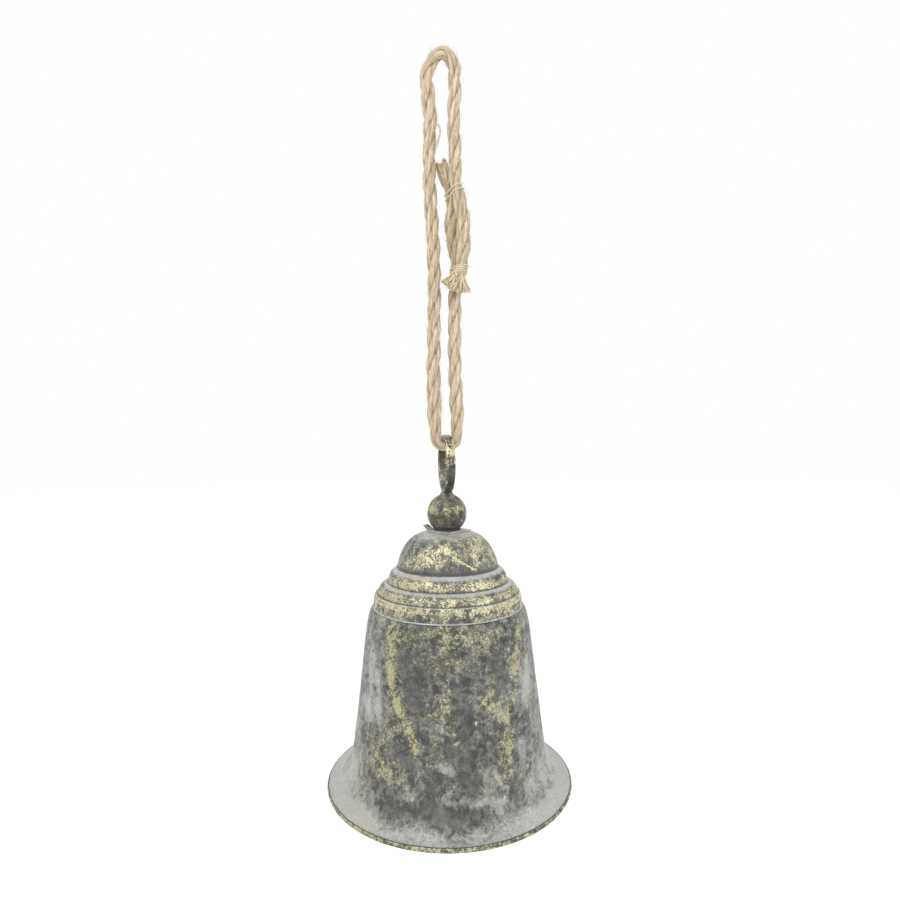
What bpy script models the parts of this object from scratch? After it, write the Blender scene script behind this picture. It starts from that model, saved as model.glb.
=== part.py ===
# Yard dinner bell: a sheet-metal bell on a loop of jute rope, with an iron clapper inside.
# Metres, +Z up. The origin is the hanging point, under the rope's top bend.
# Heights on the bell's shells are measured up from the middle of its rolled rim.

import math

import bmesh
import bpy
from mathutils import Matrix, Vector

# Driving dimensions
GAP = 0.0003                # clearance between pieces that touch
SHELL_FACETS = 40           # round the crown, the body and the rim

SHEET = 0.0009              # sheet metal of the crown and the body
RIM_RADIUS = 0.100          # outside of the rolled rim
CURL_RADIUS = 0.0022        # outside radius of the rim's curl
CURL_END = math.radians(-199)       # where the curl stops, under the sheet
RIM_FLAT = math.radians(16)         # half angle of the worn flat under the rim
FLARE_INSET = 0.0033        # from the rim's outside in to the end of the flare
FLARE_FOOT = 0.0026         # height of the flare's end
FLARE_LEAN = math.radians(7.1)      # body wall's lean from the vertical
FLARE_END = math.radians(68.4)
WAIST_RADIUS = 0.0792       # body where its wall runs into the flare
SEAM_RADIUS = 0.0626        # body at its top edge
SEAM_HEIGHT = 0.1417
SKIRT_OVERLAP = 0.008       # how far the crown's skirt goes into the body
CROWN_RISE = 0.0606         # from the body's top edge to the flat of the crown
CROWN_FLAT = 0.0010         # flat of the crown beyond the washer inside it
SOLDER_WIDTH = 0.0009
SOLDER_HEIGHT = 0.0016

ROPE_RADIUS = 0.0054
TWINE_RADIUS = 0.00045
TWINE_CLEARANCE = 0.0005    # the ropes lean a little inside their whippings

RING_OUTER = 0.02435        # hanging ring, outside radius
RING_WIDTH = 0.0074         # band along the ring's own axis
RING_THICK = 0.0045         # band across
RING_CORNER = 0.0021
RING_TURN = math.radians(9.8)

BALL_RADIUS = 0.0164
BALL_FOOT_RADIUS = 0.0110
BALL_COLLAR = 0.0011        # height of the plain collar under the ball
NECK_RADIUS = 0.0066        # weld build-up between the ball and the ring
NECK_RISE = 0.0020

WASHER_HALF_DIAGONAL = 0.0200
WASHER_THICK = 0.0008
WASHER_FLAT = 0.0005        # flat of the washer beyond the ball's foot
WASHER_FOLD = 0.0122        # the left corner is bent beyond this distance
WASHER_BEND = 0.0040        # rise of the left corner's tip
WASHER_TWIST = 1.20         # how much more its rear edge rises, per metre of depth
WASHER_DROOP = 0.0004       # fall of the other three tips

STUD_RADIUS = 0.0040
STUD_DEPTH = 0.0120         # how far the stud screws into the ball
STUD_BELOW_NUT = 0.0062     # from the nut down to the top of the eye
EYE_RADIUS = 0.0070         # to the middle of the eye's wire
EYE_WIRE = 0.00225
INNER_WASHER_RADIUS = 0.0130
INNER_WASHER_THICK = 0.0015
CLAMP_NUT_FLATS = 0.0130
CLAMP_NUT_HEIGHT = 0.0065

LINK_WIRE = 0.00175
LINK_HALF_WIDTH = 0.0055    # to the middle of the wire
LINK_STRAIGHT = 0.0160

CLAPPER_EYE_RADIUS = 0.0060
CLAPPER_EYE_WIRE = 0.0020
CLAPPER_ROD_RADIUS = 0.0040
CLAPPER_TAIL_RADIUS = 0.0030
CLAPPER_BALL_RADIUS = 0.0150
CLAPPER_BALL_HEIGHT = 0.0340        # middle of the clapper's ball above the rim
CLAPPER_FLAT_RADIUS = 0.0055        # flats at the ball's bore
CLAPPER_NUT_FLATS = 0.0100
CLAPPER_NUT_HEIGHT = 0.0050
TAIL_STICKOUT = 0.0020
TIP_CHAMFER = 0.0006        # at the ends of the stud and of the clapper's tail

# Crown outline as (share of the skirt's radius, share of the rise above the body's top edge),
# down the dome and its three stepped rings.
CROWN_OUTLINE = [
    (0.337, 0.983), (0.466, 0.922), (0.564, 0.823), (0.621, 0.724), (0.661, 0.625), (0.686, 0.520),
    (0.736, 0.487), (0.775, 0.444), (0.796, 0.394), (0.813, 0.333),
    (0.837, 0.320), (0.889, 0.292), (0.922, 0.257), (0.954, 0.195),
    (0.976, 0.180), (0.992, 0.140), (0.997, 0.071),
]
# Body outline as (share of the way from the seam's radius to the waist's, share of the way down).
BODY_OUTLINE = [
    (0.0, 0.0), (0.120, 0.033), (0.241, 0.105), (0.398, 0.275), (0.602, 0.532), (0.777, 0.747),
]

# The rope's middle line as (x, y, z, share of the full thickness), from the lower frayed end up
# over the hanging point, down through the ring and up again to the upper frayed end.
ROPE_ROUTE = [
    (0.0131, -0.0048, -0.1806, 0.88), (0.0141, -0.0048, -0.1740, 0.88),
    (0.0155, -0.0056, -0.1610, 1.00), (0.0161, -0.0052, -0.1420, 1.00),
    (0.0136, -0.0050, -0.1215, 1.00), (0.0110, -0.0046, -0.1100, 0.88),
    (0.0096, -0.0038, -0.0970, 1.00), (0.0099, -0.0014, -0.0840, 1.00),
    (0.0089, 0.0000, -0.0500, 1.00), (0.0102, 0.0000, -0.0200, 1.00),
    (0.0096, 0.0000, -0.0070, 1.00), (0.0056, 0.0000, 0.0026, 1.00),
    (0.0000, 0.0000, 0.0054, 1.00), (-0.0056, 0.0000, 0.0026, 1.00),
    (-0.0112, 0.0000, -0.0056, 1.00), (-0.0134, 0.0000, -0.0170, 1.00),
    (-0.0119, 0.0000, -0.0300, 1.00), (-0.0106, 0.0000, -0.0440, 1.00),
    (-0.0116, -0.0002, -0.0720, 1.00), (-0.0115, -0.0011, -0.1080, 1.00),
    (-0.0092, -0.0009, -0.1550, 1.00), (-0.0087, 0.0000, -0.1980, 1.00),
    (-0.0094, 0.0000, -0.2260, 1.00), (-0.0094, -0.0015, -0.3000, 1.00),
    (-0.0088, -0.0015, -0.3130, 0.86), (-0.0068, -0.0012, -0.3195, 0.80),
    (-0.0034, -0.0006, -0.3217, 0.83), (0.0000, 0.0000, -0.3221, 0.86),
    (0.0034, 0.0006, -0.3217, 0.83), (0.0068, 0.0012, -0.3195, 0.80),
    (0.0088, 0.0015, -0.3130, 0.86), (0.0092, 0.0016, -0.2990, 1.00),
    (0.0078, 0.0010, -0.2550, 1.00), (0.0080, 0.0018, -0.2200, 1.00),
    (0.0088, 0.0048, -0.1900, 1.00), (0.0098, 0.0050, -0.1745, 0.88),
    (0.0065, 0.0056, -0.1400, 1.00), (0.0061, 0.0050, -0.1100, 0.88),
    (0.0026, 0.0060, -0.0990, 1.00), (-0.0014, 0.0069, -0.0855, 1.00),
]
BIGHT = 27                  # the route's lowest point, inside the ring
DOWN_END = slice(0, 8)      # the end that comes down, on the splice's front side
UP_END = slice(-8, None)    # the end that comes up, on its back side

# Radii and heights that follow from the sizes above
SKIRT_RADIUS = SEAM_RADIUS - SHEET - GAP
CROWN_TOP = SEAM_HEIGHT + CROWN_RISE
FLARE_RADIUS = (RIM_RADIUS - FLARE_INSET - WAIST_RADIUS) / (math.cos(FLARE_LEAN) - math.cos(FLARE_END))
FLARE_CENTER = (
    WAIST_RADIUS + FLARE_RADIUS * math.cos(FLARE_LEAN),
    FLARE_FOOT + FLARE_RADIUS * math.sin(FLARE_END),
)
WAIST_HEIGHT = FLARE_CENTER[1] - FLARE_RADIUS * math.sin(FLARE_LEAN)

SWING_Z = ROPE_ROUTE[BIGHT][2]
RING_TOP = SWING_Z + ROPE_RADIUS * ROPE_ROUTE[BIGHT][3] + GAP + RING_THICK
RING_Z = RING_TOP - RING_OUTER
BALL_Z = RING_TOP - 2 * RING_OUTER - GAP - BALL_RADIUS
BALL_FOOT_Z = BALL_Z - math.sqrt(BALL_RADIUS ** 2 - BALL_FOOT_RADIUS ** 2) - BALL_COLLAR
WASHER_Z = BALL_FOOT_Z - GAP - WASHER_THICK
CROWN_Z = WASHER_Z - GAP
RIM_Z = CROWN_Z - CROWN_TOP
INNER_WASHER_Z = CROWN_Z - SHEET - GAP - INNER_WASHER_THICK
CLAMP_NUT_Z = INNER_WASHER_Z - GAP - CLAMP_NUT_HEIGHT
EYE_Z = CLAMP_NUT_Z - STUD_BELOW_NUT - EYE_WIRE - EYE_RADIUS
LINK_SWING_Z = EYE_Z - EYE_RADIUS
LINK_TOP_Z = LINK_SWING_Z + EYE_WIRE + GAP + LINK_WIRE - LINK_HALF_WIDTH
LINK_BOTTOM_Z = LINK_TOP_Z - LINK_STRAIGHT
CLAPPER_SWING_Z = LINK_BOTTOM_Z - LINK_HALF_WIDTH
CLAPPER_EYE_Z = CLAPPER_SWING_Z + LINK_WIRE + GAP + CLAPPER_EYE_WIRE - CLAPPER_EYE_RADIUS
CLAPPER_BALL_Z = RIM_Z + CLAPPER_BALL_HEIGHT
FLAT_REACH = math.sqrt(CLAPPER_BALL_RADIUS ** 2 - CLAPPER_FLAT_RADIUS ** 2)
CLAPPER_NUT_Z = CLAPPER_BALL_Z - FLAT_REACH - GAP - CLAPPER_NUT_HEIGHT


# Scene and objects

def clear_scene():
    for obj in list(bpy.data.objects):
        bpy.data.objects.remove(obj, do_unlink=True)


def make_material(name, color, roughness, metallic):
    material = bpy.data.materials.new(name)
    material.use_nodes = True
    shader = material.node_tree.nodes["Principled BSDF"]
    shader.inputs["Base Color"].default_value = (*color, 1.0)
    shader.inputs["Roughness"].default_value = roughness
    shader.inputs["Metallic"].default_value = metallic
    return material


def place(obj, pivot, height, material=None, turn=0.0):
    """Put an object's origin on the bell's axis at a height in the world, hung under a pivot."""
    obj["height"] = height
    if pivot:
        obj.parent = pivot
        height -= pivot["height"]
    obj.location.z = height
    obj.rotation_euler.z = turn
    if material:
        obj.data.materials.append(material)
    return obj


def add_pivot(name, height, parent=None):
    """An empty on a joint's axis."""
    pivot = bpy.data.objects.new(name, None)
    pivot.empty_display_size = 0.02
    bpy.context.collection.objects.link(pivot)
    return place(pivot, parent, height)


def join_loops(bm, first, second):
    """Faces between two closed loops of as many vertices each."""
    for index in range(len(first)):
        after = (index + 1) % len(first)
        bm.faces.new((first[index], first[after], second[after], second[index]))


def mesh_object(name, bm):
    bmesh.ops.remove_doubles(bm, verts=bm.verts, dist=1e-6)
    bmesh.ops.recalc_face_normals(bm, faces=bm.faces)
    mesh = bpy.data.meshes.new(name)
    bm.to_mesh(mesh)
    bm.free()
    mesh.shade_smooth()
    mesh.set_sharp_from_angle(angle=math.radians(35))
    obj = bpy.data.objects.new(name, mesh)
    bpy.context.collection.objects.link(obj)
    return obj


def tube_object(name, points, radius, resolution, shares=None, cyclic=False):
    """A round bar along a list of points: a curve with a bevel and filled caps."""
    curve = bpy.data.curves.new(name, "CURVE")
    curve.dimensions = "3D"
    curve.bevel_depth = radius
    curve.bevel_resolution = resolution
    curve.use_fill_caps = True
    spline = curve.splines.new("POLY")
    spline.points.add(len(points) - 1)
    for index, point in enumerate(points):
        spline.points[index].co = (*point, 1.0)
        spline.points[index].radius = shares[index] if shares else 1.0
    spline.use_cyclic_u = cyclic
    obj = bpy.data.objects.new(name, curve)
    bpy.context.collection.objects.link(obj)
    return obj


def add_boolean(obj, other, operation):
    """Join or cut obj with another object, which is only a guide from then on."""
    modifier = obj.modifiers.new(operation.title(), "BOOLEAN")
    modifier.operation = operation
    modifier.object = other
    other.hide_render = True
    other.display_type = "WIRE"


# Outlines and turned shapes

def arc(center, radius, start, end, steps):
    """Points round an arc in the (radius, height) plane."""
    points = []
    for step in range(steps + 1):
        angle = start + (end - start) * step / steps
        points.append((center[0] + radius * math.cos(angle), center[1] + radius * math.sin(angle)))
    return points


def turned(name, outline, facets, closed=True):
    """Turn an outline of (radius, height) points about Z. An open one starts and ends on it."""
    bm = bmesh.new()
    verts = [bm.verts.new((radius, 0.0, height)) for radius, height in outline]
    pairs = list(zip(verts, verts[1:]))
    if closed:
        pairs.append((verts[-1], verts[0]))
    edges = [bm.edges.new(pair) for pair in pairs]
    bmesh.ops.spin(
        bm, geom=verts + edges, axis=(0, 0, 1), cent=(0, 0, 0),
        angle=math.tau, steps=facets, use_merge=True,
    )
    return mesh_object(name, bm)


def sheet_section(outer, thickness):
    """Close an outer outline with its parallel inside, one sheet thickness in."""
    inner = []
    for index, point in enumerate(outer):
        here = Vector(point)
        before = here - Vector(outer[index - 1]) if index else Vector(outer[1]) - here
        after = Vector(outer[index + 1]) - here if index < len(outer) - 1 else before
        tangent = (before.normalized() + after.normalized()).normalized()
        stretch = 1.0 / tangent.dot(before.normalized())
        inner.append(here + Vector((tangent.y, -tangent.x)) * thickness * stretch)
    return list(outer) + [tuple(point) for point in reversed(inner)]


def circle_section(center_radius, wire, sides):
    """A wire's round section, ready to be turned into a ring."""
    return arc((center_radius, 0.0), wire, 0.0, math.tau * (sides - 1) / sides, sides - 1)


def stand_ring(obj):
    """Stand a turned ring on its edge, so that its own axis is X."""
    obj.data.transform(Matrix.Rotation(math.pi / 2, 4, "Y"))
    return obj


def hex_nut(name, flats, height, bore):
    """A hexagon nut with its lower face at height 0; each side is split in three."""
    bm = bmesh.new()
    count = 18
    loops = []
    for level in (0.0, height):
        for inside in (False, True):
            loop = []
            for index in range(count):
                angle = math.tau * index / count
                across = angle % (math.pi / 3) - math.pi / 6
                reach = bore if inside else flats / 2 / math.cos(across)
                loop.append(bm.verts.new((reach * math.cos(angle), reach * math.sin(angle), level)))
            loops.append(loop)
    low_out, low_in, top_out, top_in = loops
    for first, second in ((low_out, top_out), (top_out, top_in), (top_in, low_in), (low_in, low_out)):
        join_loops(bm, first, second)
    return mesh_object(name, bm)


# Rope and twine

def smooth_route(points):
    """A smooth curve through a route, as its own points and one more between each two."""
    nodes = [Vector(point) for point in points]
    spans = [(after.xyz - before.xyz).length for before, after in zip(nodes, nodes[1:])]
    runs = [(after - before) / span for before, after, span in zip(nodes, nodes[1:], spans)]
    slopes = [runs[0]]
    for index in range(1, len(runs)):
        before, after = spans[index - 1], spans[index]
        slopes.append((runs[index - 1] * after + runs[index] * before) / (before + after))
    slopes.append(runs[-1])
    smooth = [nodes[0]]
    for index, span in enumerate(spans):
        middle = nodes[index].lerp(nodes[index + 1], 0.5)
        smooth.append(middle + (slopes[index] - slopes[index + 1]) * span / 8)
        smooth.append(nodes[index + 1])
    return smooth


def rope_at(stretch, height):
    """Middle of the rope at a height, on one stretch of its route that doesn't turn back."""
    nodes = sorted(smooth_route(ROPE_ROUTE[stretch]), key=lambda node: node.z)
    for low, high in zip(nodes, nodes[1:]):
        if height <= high.z:
            break
    return low.lerp(high, (height - low.z) / (high.z - low.z))


def add_rope(jute):
    smooth = smooth_route(ROPE_ROUTE)
    shares = [point.w for point in smooth]
    rope = tube_object("rope_loop", [point.xyz for point in smooth], ROPE_RADIUS, 3, shares)
    return place(rope, None, 0.0, jute)


def add_whipping(name, height, turns, pitch, slant, jute):
    """Twine wound round both ends of the rope where they lie side by side."""
    per_turn = 18
    middle = (rope_at(DOWN_END, height).x + rope_at(UP_END, height).x) / 2
    points = []
    for step in range(int(turns * per_turn) + 1):
        angle = math.tau * step / per_turn
        out = Vector((math.cos(angle), math.sin(angle), 0.0))
        level = height + pitch * (step / per_turn - turns / 2)
        spots = []
        for stretch in (DOWN_END, UP_END):
            rope = rope_at(stretch, level)
            reach = ROPE_RADIUS * rope.w + TWINE_CLEARANCE + TWINE_RADIUS
            spots.append(rope.xyz + out * reach)
        point = max(spots, key=lambda spot: spot.dot(out))
        point.z += slant * (point.x - middle)
        points.append(point)
    return place(tube_object(name, points, TWINE_RADIUS, 1), None, 0.0, jute)


def add_brush(name, rings, jute):
    """A frayed rope end as one plain solid, lofted through (middle, half width, half depth)."""
    bm = bmesh.new()
    sides = 14
    loops = []
    for middle, half_width, half_depth in rings:
        loop = []
        for side in range(sides):
            angle = math.tau * side / sides
            across = Vector((half_width * math.cos(angle), half_depth * math.sin(angle), 0.0))
            loop.append(bm.verts.new(middle + across))
        loops.append(loop)
    for first, second in zip(loops, loops[1:]):
        join_loops(bm, first, second)
    bm.faces.new(loops[0])
    bm.faces.new(loops[-1])
    return place(mesh_object(name, bm), None, 0.0, jute)


def add_lower_brush(jute):
    """The cut end below the splice, spread into a fan to the left."""
    end = Vector(ROPE_ROUTE[0])
    core = ROPE_RADIUS * end.w
    return add_brush("lower_frayed_end", [
        (end.xyz + Vector((0.0, 0.0, -0.0010)), core, core * 0.9),
        (end.xyz + Vector((-0.0012, -0.0006, -0.0050)), 0.0095, 0.0043),
        (end.xyz + Vector((-0.0040, -0.0009, -0.0100)), 0.0132, 0.0042),
        (end.xyz + Vector((-0.0046, -0.0009, -0.0144)), 0.0138, 0.0040),
    ], jute)


def add_upper_brush(jute):
    """The short cut end above the splice, leaning to the left."""
    end = Vector(ROPE_ROUTE[-1])
    core = ROPE_RADIUS * end.w
    return add_brush("upper_frayed_end", [
        (end.xyz + Vector((-0.0003, 0.0, 0.0022)), core, core),
        (end.xyz + Vector((-0.0008, 0.0002, 0.0045)), core + 0.0002, core),
        (end.xyz + Vector((-0.0012, 0.0003, 0.0068)), core + 0.0004, core),
    ], jute)


# Ring, ball and washer on top of the bell

def ring_section(grow):
    """The band's rounded section, made larger all round by grow."""
    middle = RING_OUTER - RING_THICK / 2
    corner = RING_CORNER + grow
    half_thick = RING_THICK / 2 - RING_CORNER
    half_width = RING_WIDTH / 2 - RING_CORNER
    points = []
    for quarter, (thick_side, width_side) in enumerate(((1, 1), (-1, 1), (-1, -1), (1, -1))):
        center = (middle + thick_side * half_thick, width_side * half_width)
        start = quarter * math.pi / 2
        points += arc(center, corner, start, start + math.pi / 2, 2)
    return points


def add_ring(pivot, brass):
    ring = stand_ring(turned("hanging_ring", ring_section(0.0), 40))
    return place(ring, pivot, RING_Z, brass, RING_TURN)


def add_ball(pivot, brass):
    """The ball is turned with a foot, a blind hole for the stud and a neck that holds the ring."""
    neck_top = BALL_RADIUS + NECK_RISE
    foot = BALL_FOOT_Z - BALL_Z
    hole = STUD_RADIUS + GAP
    hole_top = foot + STUD_DEPTH + GAP
    shoulder = math.radians(57)
    foot_angle = -math.acos(BALL_FOOT_RADIUS / BALL_RADIUS)
    outline = [(0.0, neck_top), (NECK_RADIUS * 0.8, neck_top)]
    outline.append((NECK_RADIUS, neck_top - NECK_RISE / 2))
    outline += arc((0.0, 0.0), BALL_RADIUS, shoulder, foot_angle, 10)
    outline += [(BALL_FOOT_RADIUS, foot), (hole, foot), (hole, hole_top), (0.0, hole_top)]
    ball = place(turned("finial_ball", outline, 32, closed=False), pivot, BALL_Z, brass)
    cutter = stand_ring(turned("ring_seat", ring_section(GAP), 40))
    place(cutter, pivot, RING_Z, brass, RING_TURN)
    add_boolean(ball, cutter, "DIFFERENCE")
    return ball


def washer_height(x, y, flat):
    """How far the bent washer stands from its flat middle."""
    over = max(math.hypot(x, y) - flat, 0.0) / (WASHER_HALF_DIAGONAL - flat)
    bent = max((-x - WASHER_FOLD) / (WASHER_HALF_DIAGONAL - WASHER_FOLD), 0.0)
    lift = max(WASHER_BEND + WASHER_TWIST * y, 0.0)
    return bent * lift - (1 - bent) * over ** 2 * WASHER_DROOP


def add_corner_washer(pivot, zinc):
    """A square washer set with its corners to the sides, one of them bent up."""
    bm = bmesh.new()
    count = 24
    hole = STUD_RADIUS + GAP
    flat = BALL_FOOT_RADIUS + WASHER_FLAT
    layers = []
    for level in (WASHER_THICK, 0.0):
        layer = [[], [], [], []]
        for index in range(count):
            angle = math.tau * index / count
            across = angle % (math.pi / 2) - math.pi / 4
            edge = WASHER_HALF_DIAGONAL * math.cos(math.pi / 4) / math.cos(across)
            for loop, reach in zip(layer, (hole, flat, (flat + edge) / 2, edge)):
                x = reach * math.cos(angle)
                y = reach * math.sin(angle)
                loop.append(bm.verts.new((x, y, level + washer_height(x, y, flat))))
        layers.append(layer)
    top, bottom = layers
    shells = list(zip(top, top[1:])) + list(zip(bottom, bottom[1:]))
    shells += [(top[0], bottom[0]), (top[-1], bottom[-1])]
    for first, second in shells:
        join_loops(bm, first, second)
    return place(mesh_object("corner_washer", bm), pivot, WASHER_Z, zinc)


# Shells of the bell

def add_crown(pivot, metal):
    """Dome and stepped rings in one sheet, with a plain skirt that goes into the body."""
    outer = [(STUD_RADIUS + GAP, CROWN_TOP), (INNER_WASHER_RADIUS + CROWN_FLAT, CROWN_TOP)]
    for across, up in CROWN_OUTLINE:
        outer.append((SKIRT_RADIUS * across, SEAM_HEIGHT + CROWN_RISE * up))
    outer += [(SKIRT_RADIUS, SEAM_HEIGHT), (SKIRT_RADIUS, SEAM_HEIGHT - SKIRT_OVERLAP)]
    return place(turned("crown_shell", sheet_section(outer, SHEET), SHELL_FACETS), pivot, RIM_Z, metal)


def add_body(pivot, metal):
    """Wall, flare and a rim curled outwards and under round its wire."""
    outer = []
    for across, down in BODY_OUTLINE:
        radius = SEAM_RADIUS + (WAIST_RADIUS - SEAM_RADIUS) * across
        outer.append((radius, SEAM_HEIGHT + (WAIST_HEIGHT - SEAM_HEIGHT) * down))
    outer += arc(FLARE_CENTER, FLARE_RADIUS, math.pi + FLARE_LEAN, math.pi + FLARE_END, 5)
    curl_center = (RIM_RADIUS - CURL_RADIUS, 0.0)
    outer += arc(curl_center, CURL_RADIUS, FLARE_END, -math.pi / 2 + RIM_FLAT, 5)
    outer += arc(curl_center, CURL_RADIUS, -math.pi / 2 - RIM_FLAT, CURL_END, 3)
    return place(turned("body_shell", sheet_section(outer, SHEET), SHELL_FACETS), pivot, RIM_Z, metal)


def add_rim_wire(pivot, steel):
    wire = (CURL_RADIUS - SHEET) * math.cos(RIM_FLAT) - GAP
    section = circle_section(RIM_RADIUS - CURL_RADIUS, wire, 8)
    return place(turned("rim_wire", section, SHELL_FACETS), pivot, RIM_Z, steel)


def add_seam_solder(pivot, solder):
    """A thin fillet of solder on the body's top edge, round the foot of the crown."""
    inside = SKIRT_RADIUS + GAP
    base = SEAM_HEIGHT + GAP
    section = [
        (inside, base), (inside + SOLDER_WIDTH, base),
        (inside + SOLDER_WIDTH * 0.6, base + SOLDER_HEIGHT * 0.45), (inside, base + SOLDER_HEIGHT),
    ]
    return place(turned("seam_solder", section, SHELL_FACETS), pivot, RIM_Z, solder)


# Stud, washer and nut that clamp the crown

def add_eye_stud(pivot, iron):
    top = BALL_FOOT_Z + STUD_DEPTH - EYE_Z
    eye_top = EYE_RADIUS + EYE_WIRE
    outline = [
        (0.0, top), (STUD_RADIUS - TIP_CHAMFER, top), (STUD_RADIUS, top - TIP_CHAMFER),
        (STUD_RADIUS, eye_top + STUD_BELOW_NUT / 2), (EYE_WIRE, eye_top), (EYE_WIRE, EYE_RADIUS),
        (0.0, EYE_RADIUS),
    ]
    stud = place(turned("eye_stud", outline, 20, closed=False), pivot, EYE_Z, iron)
    eye = stand_ring(turned("stud_eye", circle_section(EYE_RADIUS, EYE_WIRE, 8), 24))
    place(eye, pivot, EYE_Z, iron)
    add_boolean(stud, eye, "UNION")
    return stud


def add_inner_washer(pivot, steel):
    inside = STUD_RADIUS + GAP
    outline = [
        (inside, 0.0), (INNER_WASHER_RADIUS, 0.0),
        (INNER_WASHER_RADIUS, INNER_WASHER_THICK), (inside, INNER_WASHER_THICK),
    ]
    return place(turned("inner_washer", outline, 24), pivot, INNER_WASHER_Z, steel)


def add_clamp_nut(pivot, steel):
    nut = hex_nut("clamp_nut", CLAMP_NUT_FLATS, CLAMP_NUT_HEIGHT, STUD_RADIUS + GAP)
    return place(nut, pivot, CLAMP_NUT_Z, steel)


# Clapper

def add_link(pivot, iron):
    """An oval link across the bell, through the stud's eye and the clapper's eye."""
    points = []
    for center, start in ((LINK_TOP_Z, 0.0), (LINK_BOTTOM_Z, math.pi)):
        for x, z in arc((0.0, center - LINK_SWING_Z), LINK_HALF_WIDTH, start, start + math.pi, 10):
            points.append((x, 0.0, z))
    link = tube_object("clapper_link", points, LINK_WIRE, 2, cyclic=True)
    return place(link, pivot, LINK_SWING_Z, iron)


def add_clapper_rod(pivot, iron):
    """A rod with a forged eye, and a thinner tail through the ball and its nut."""
    shoulder = CLAPPER_BALL_Z + FLAT_REACH + GAP - CLAPPER_EYE_Z
    tail = CLAPPER_NUT_Z - TAIL_STICKOUT - CLAPPER_EYE_Z
    eye_bottom = -CLAPPER_EYE_RADIUS - CLAPPER_EYE_WIRE
    outline = [
        (0.0, -CLAPPER_EYE_RADIUS), (CLAPPER_EYE_WIRE, -CLAPPER_EYE_RADIUS),
        (CLAPPER_EYE_WIRE, eye_bottom), (CLAPPER_ROD_RADIUS, eye_bottom - CLAPPER_EYE_RADIUS),
        (CLAPPER_ROD_RADIUS, shoulder), (CLAPPER_TAIL_RADIUS, shoulder),
        (CLAPPER_TAIL_RADIUS, tail + TIP_CHAMFER), (CLAPPER_TAIL_RADIUS - TIP_CHAMFER, tail),
        (0.0, tail),
    ]
    rod = place(turned("clapper_rod", outline, 16, closed=False), pivot, CLAPPER_EYE_Z, iron)
    eye = stand_ring(turned("rod_eye", circle_section(CLAPPER_EYE_RADIUS, CLAPPER_EYE_WIRE, 8), 24))
    place(eye, pivot, CLAPPER_EYE_Z, iron)
    add_boolean(rod, eye, "UNION")
    return rod


def add_clapper_ball(pivot, iron):
    bore = CLAPPER_TAIL_RADIUS + GAP
    flat = math.asin(FLAT_REACH / CLAPPER_BALL_RADIUS)
    outline = [(bore, FLAT_REACH)] + arc((0.0, 0.0), CLAPPER_BALL_RADIUS, flat, -flat, 8)
    outline.append((bore, -FLAT_REACH))
    return place(turned("clapper_ball", outline, 24), pivot, CLAPPER_BALL_Z, iron)


def add_clapper_nut(pivot, iron):
    nut = hex_nut("clapper_nut", CLAPPER_NUT_FLATS, CLAPPER_NUT_HEIGHT, CLAPPER_TAIL_RADIUS + GAP)
    return place(nut, pivot, CLAPPER_NUT_Z, iron)


def build():
    clear_scene()
    jute = make_material("jute", (0.60, 0.49, 0.31), 0.95, 0.0)
    aged = make_material("aged_brass", (0.22, 0.20, 0.17), 0.55, 0.8)
    zinc = make_material("zinc", (0.55, 0.55, 0.54), 0.5, 0.8)
    solder = make_material("solder", (0.70, 0.71, 0.72), 0.45, 0.8)
    iron = make_material("dark_iron", (0.10, 0.095, 0.09), 0.6, 0.8)
    bell = add_pivot("bell_pivot", SWING_Z)
    link = add_pivot("link_pivot", LINK_SWING_Z, bell)
    clapper = add_pivot("clapper_pivot", CLAPPER_SWING_Z, link)

    add_rope(jute)
    add_whipping("upper_whipping", -0.1095, 2.0, 0.0044, 0.32, jute)
    add_whipping("lower_whipping", -0.1750, 3.0, 0.0016, 0.0, jute)
    add_lower_brush(jute)
    add_upper_brush(jute)

    add_ring(bell, aged)
    add_ball(bell, aged)
    add_corner_washer(bell, zinc)
    add_crown(bell, aged)
    add_seam_solder(bell, solder)
    add_body(bell, aged)
    add_rim_wire(bell, iron)
    add_eye_stud(bell, iron)
    add_inner_washer(bell, zinc)
    add_clamp_nut(bell, zinc)
    add_link(link, iron)
    add_clapper_rod(clapper, iron)
    add_clapper_ball(clapper, iron)
    add_clapper_nut(clapper, iron)


build()
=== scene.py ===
import math

import bmesh
import bpy
import numpy as np
from mathutils import Matrix, Vector, noise


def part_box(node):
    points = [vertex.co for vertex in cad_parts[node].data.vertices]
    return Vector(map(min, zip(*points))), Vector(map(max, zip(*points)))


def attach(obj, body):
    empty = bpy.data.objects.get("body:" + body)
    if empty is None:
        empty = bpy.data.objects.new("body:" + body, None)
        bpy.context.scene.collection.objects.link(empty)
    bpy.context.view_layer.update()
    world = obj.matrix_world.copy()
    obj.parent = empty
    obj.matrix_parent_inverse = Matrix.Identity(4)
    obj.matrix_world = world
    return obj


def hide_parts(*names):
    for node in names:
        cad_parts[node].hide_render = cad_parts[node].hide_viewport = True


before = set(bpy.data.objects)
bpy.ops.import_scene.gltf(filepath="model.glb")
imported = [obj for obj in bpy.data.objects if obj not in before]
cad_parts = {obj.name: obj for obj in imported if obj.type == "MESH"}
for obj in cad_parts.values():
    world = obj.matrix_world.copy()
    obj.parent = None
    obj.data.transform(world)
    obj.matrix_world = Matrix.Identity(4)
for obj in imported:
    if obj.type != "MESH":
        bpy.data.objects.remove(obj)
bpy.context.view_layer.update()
tau = math.tau
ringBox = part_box("hanging_ring")
print("frame loaded")


def newObject(name, data):
    thing = bpy.data.objects.new(name, data)
    bpy.context.collection.objects.link(thing)
    return thing


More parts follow.
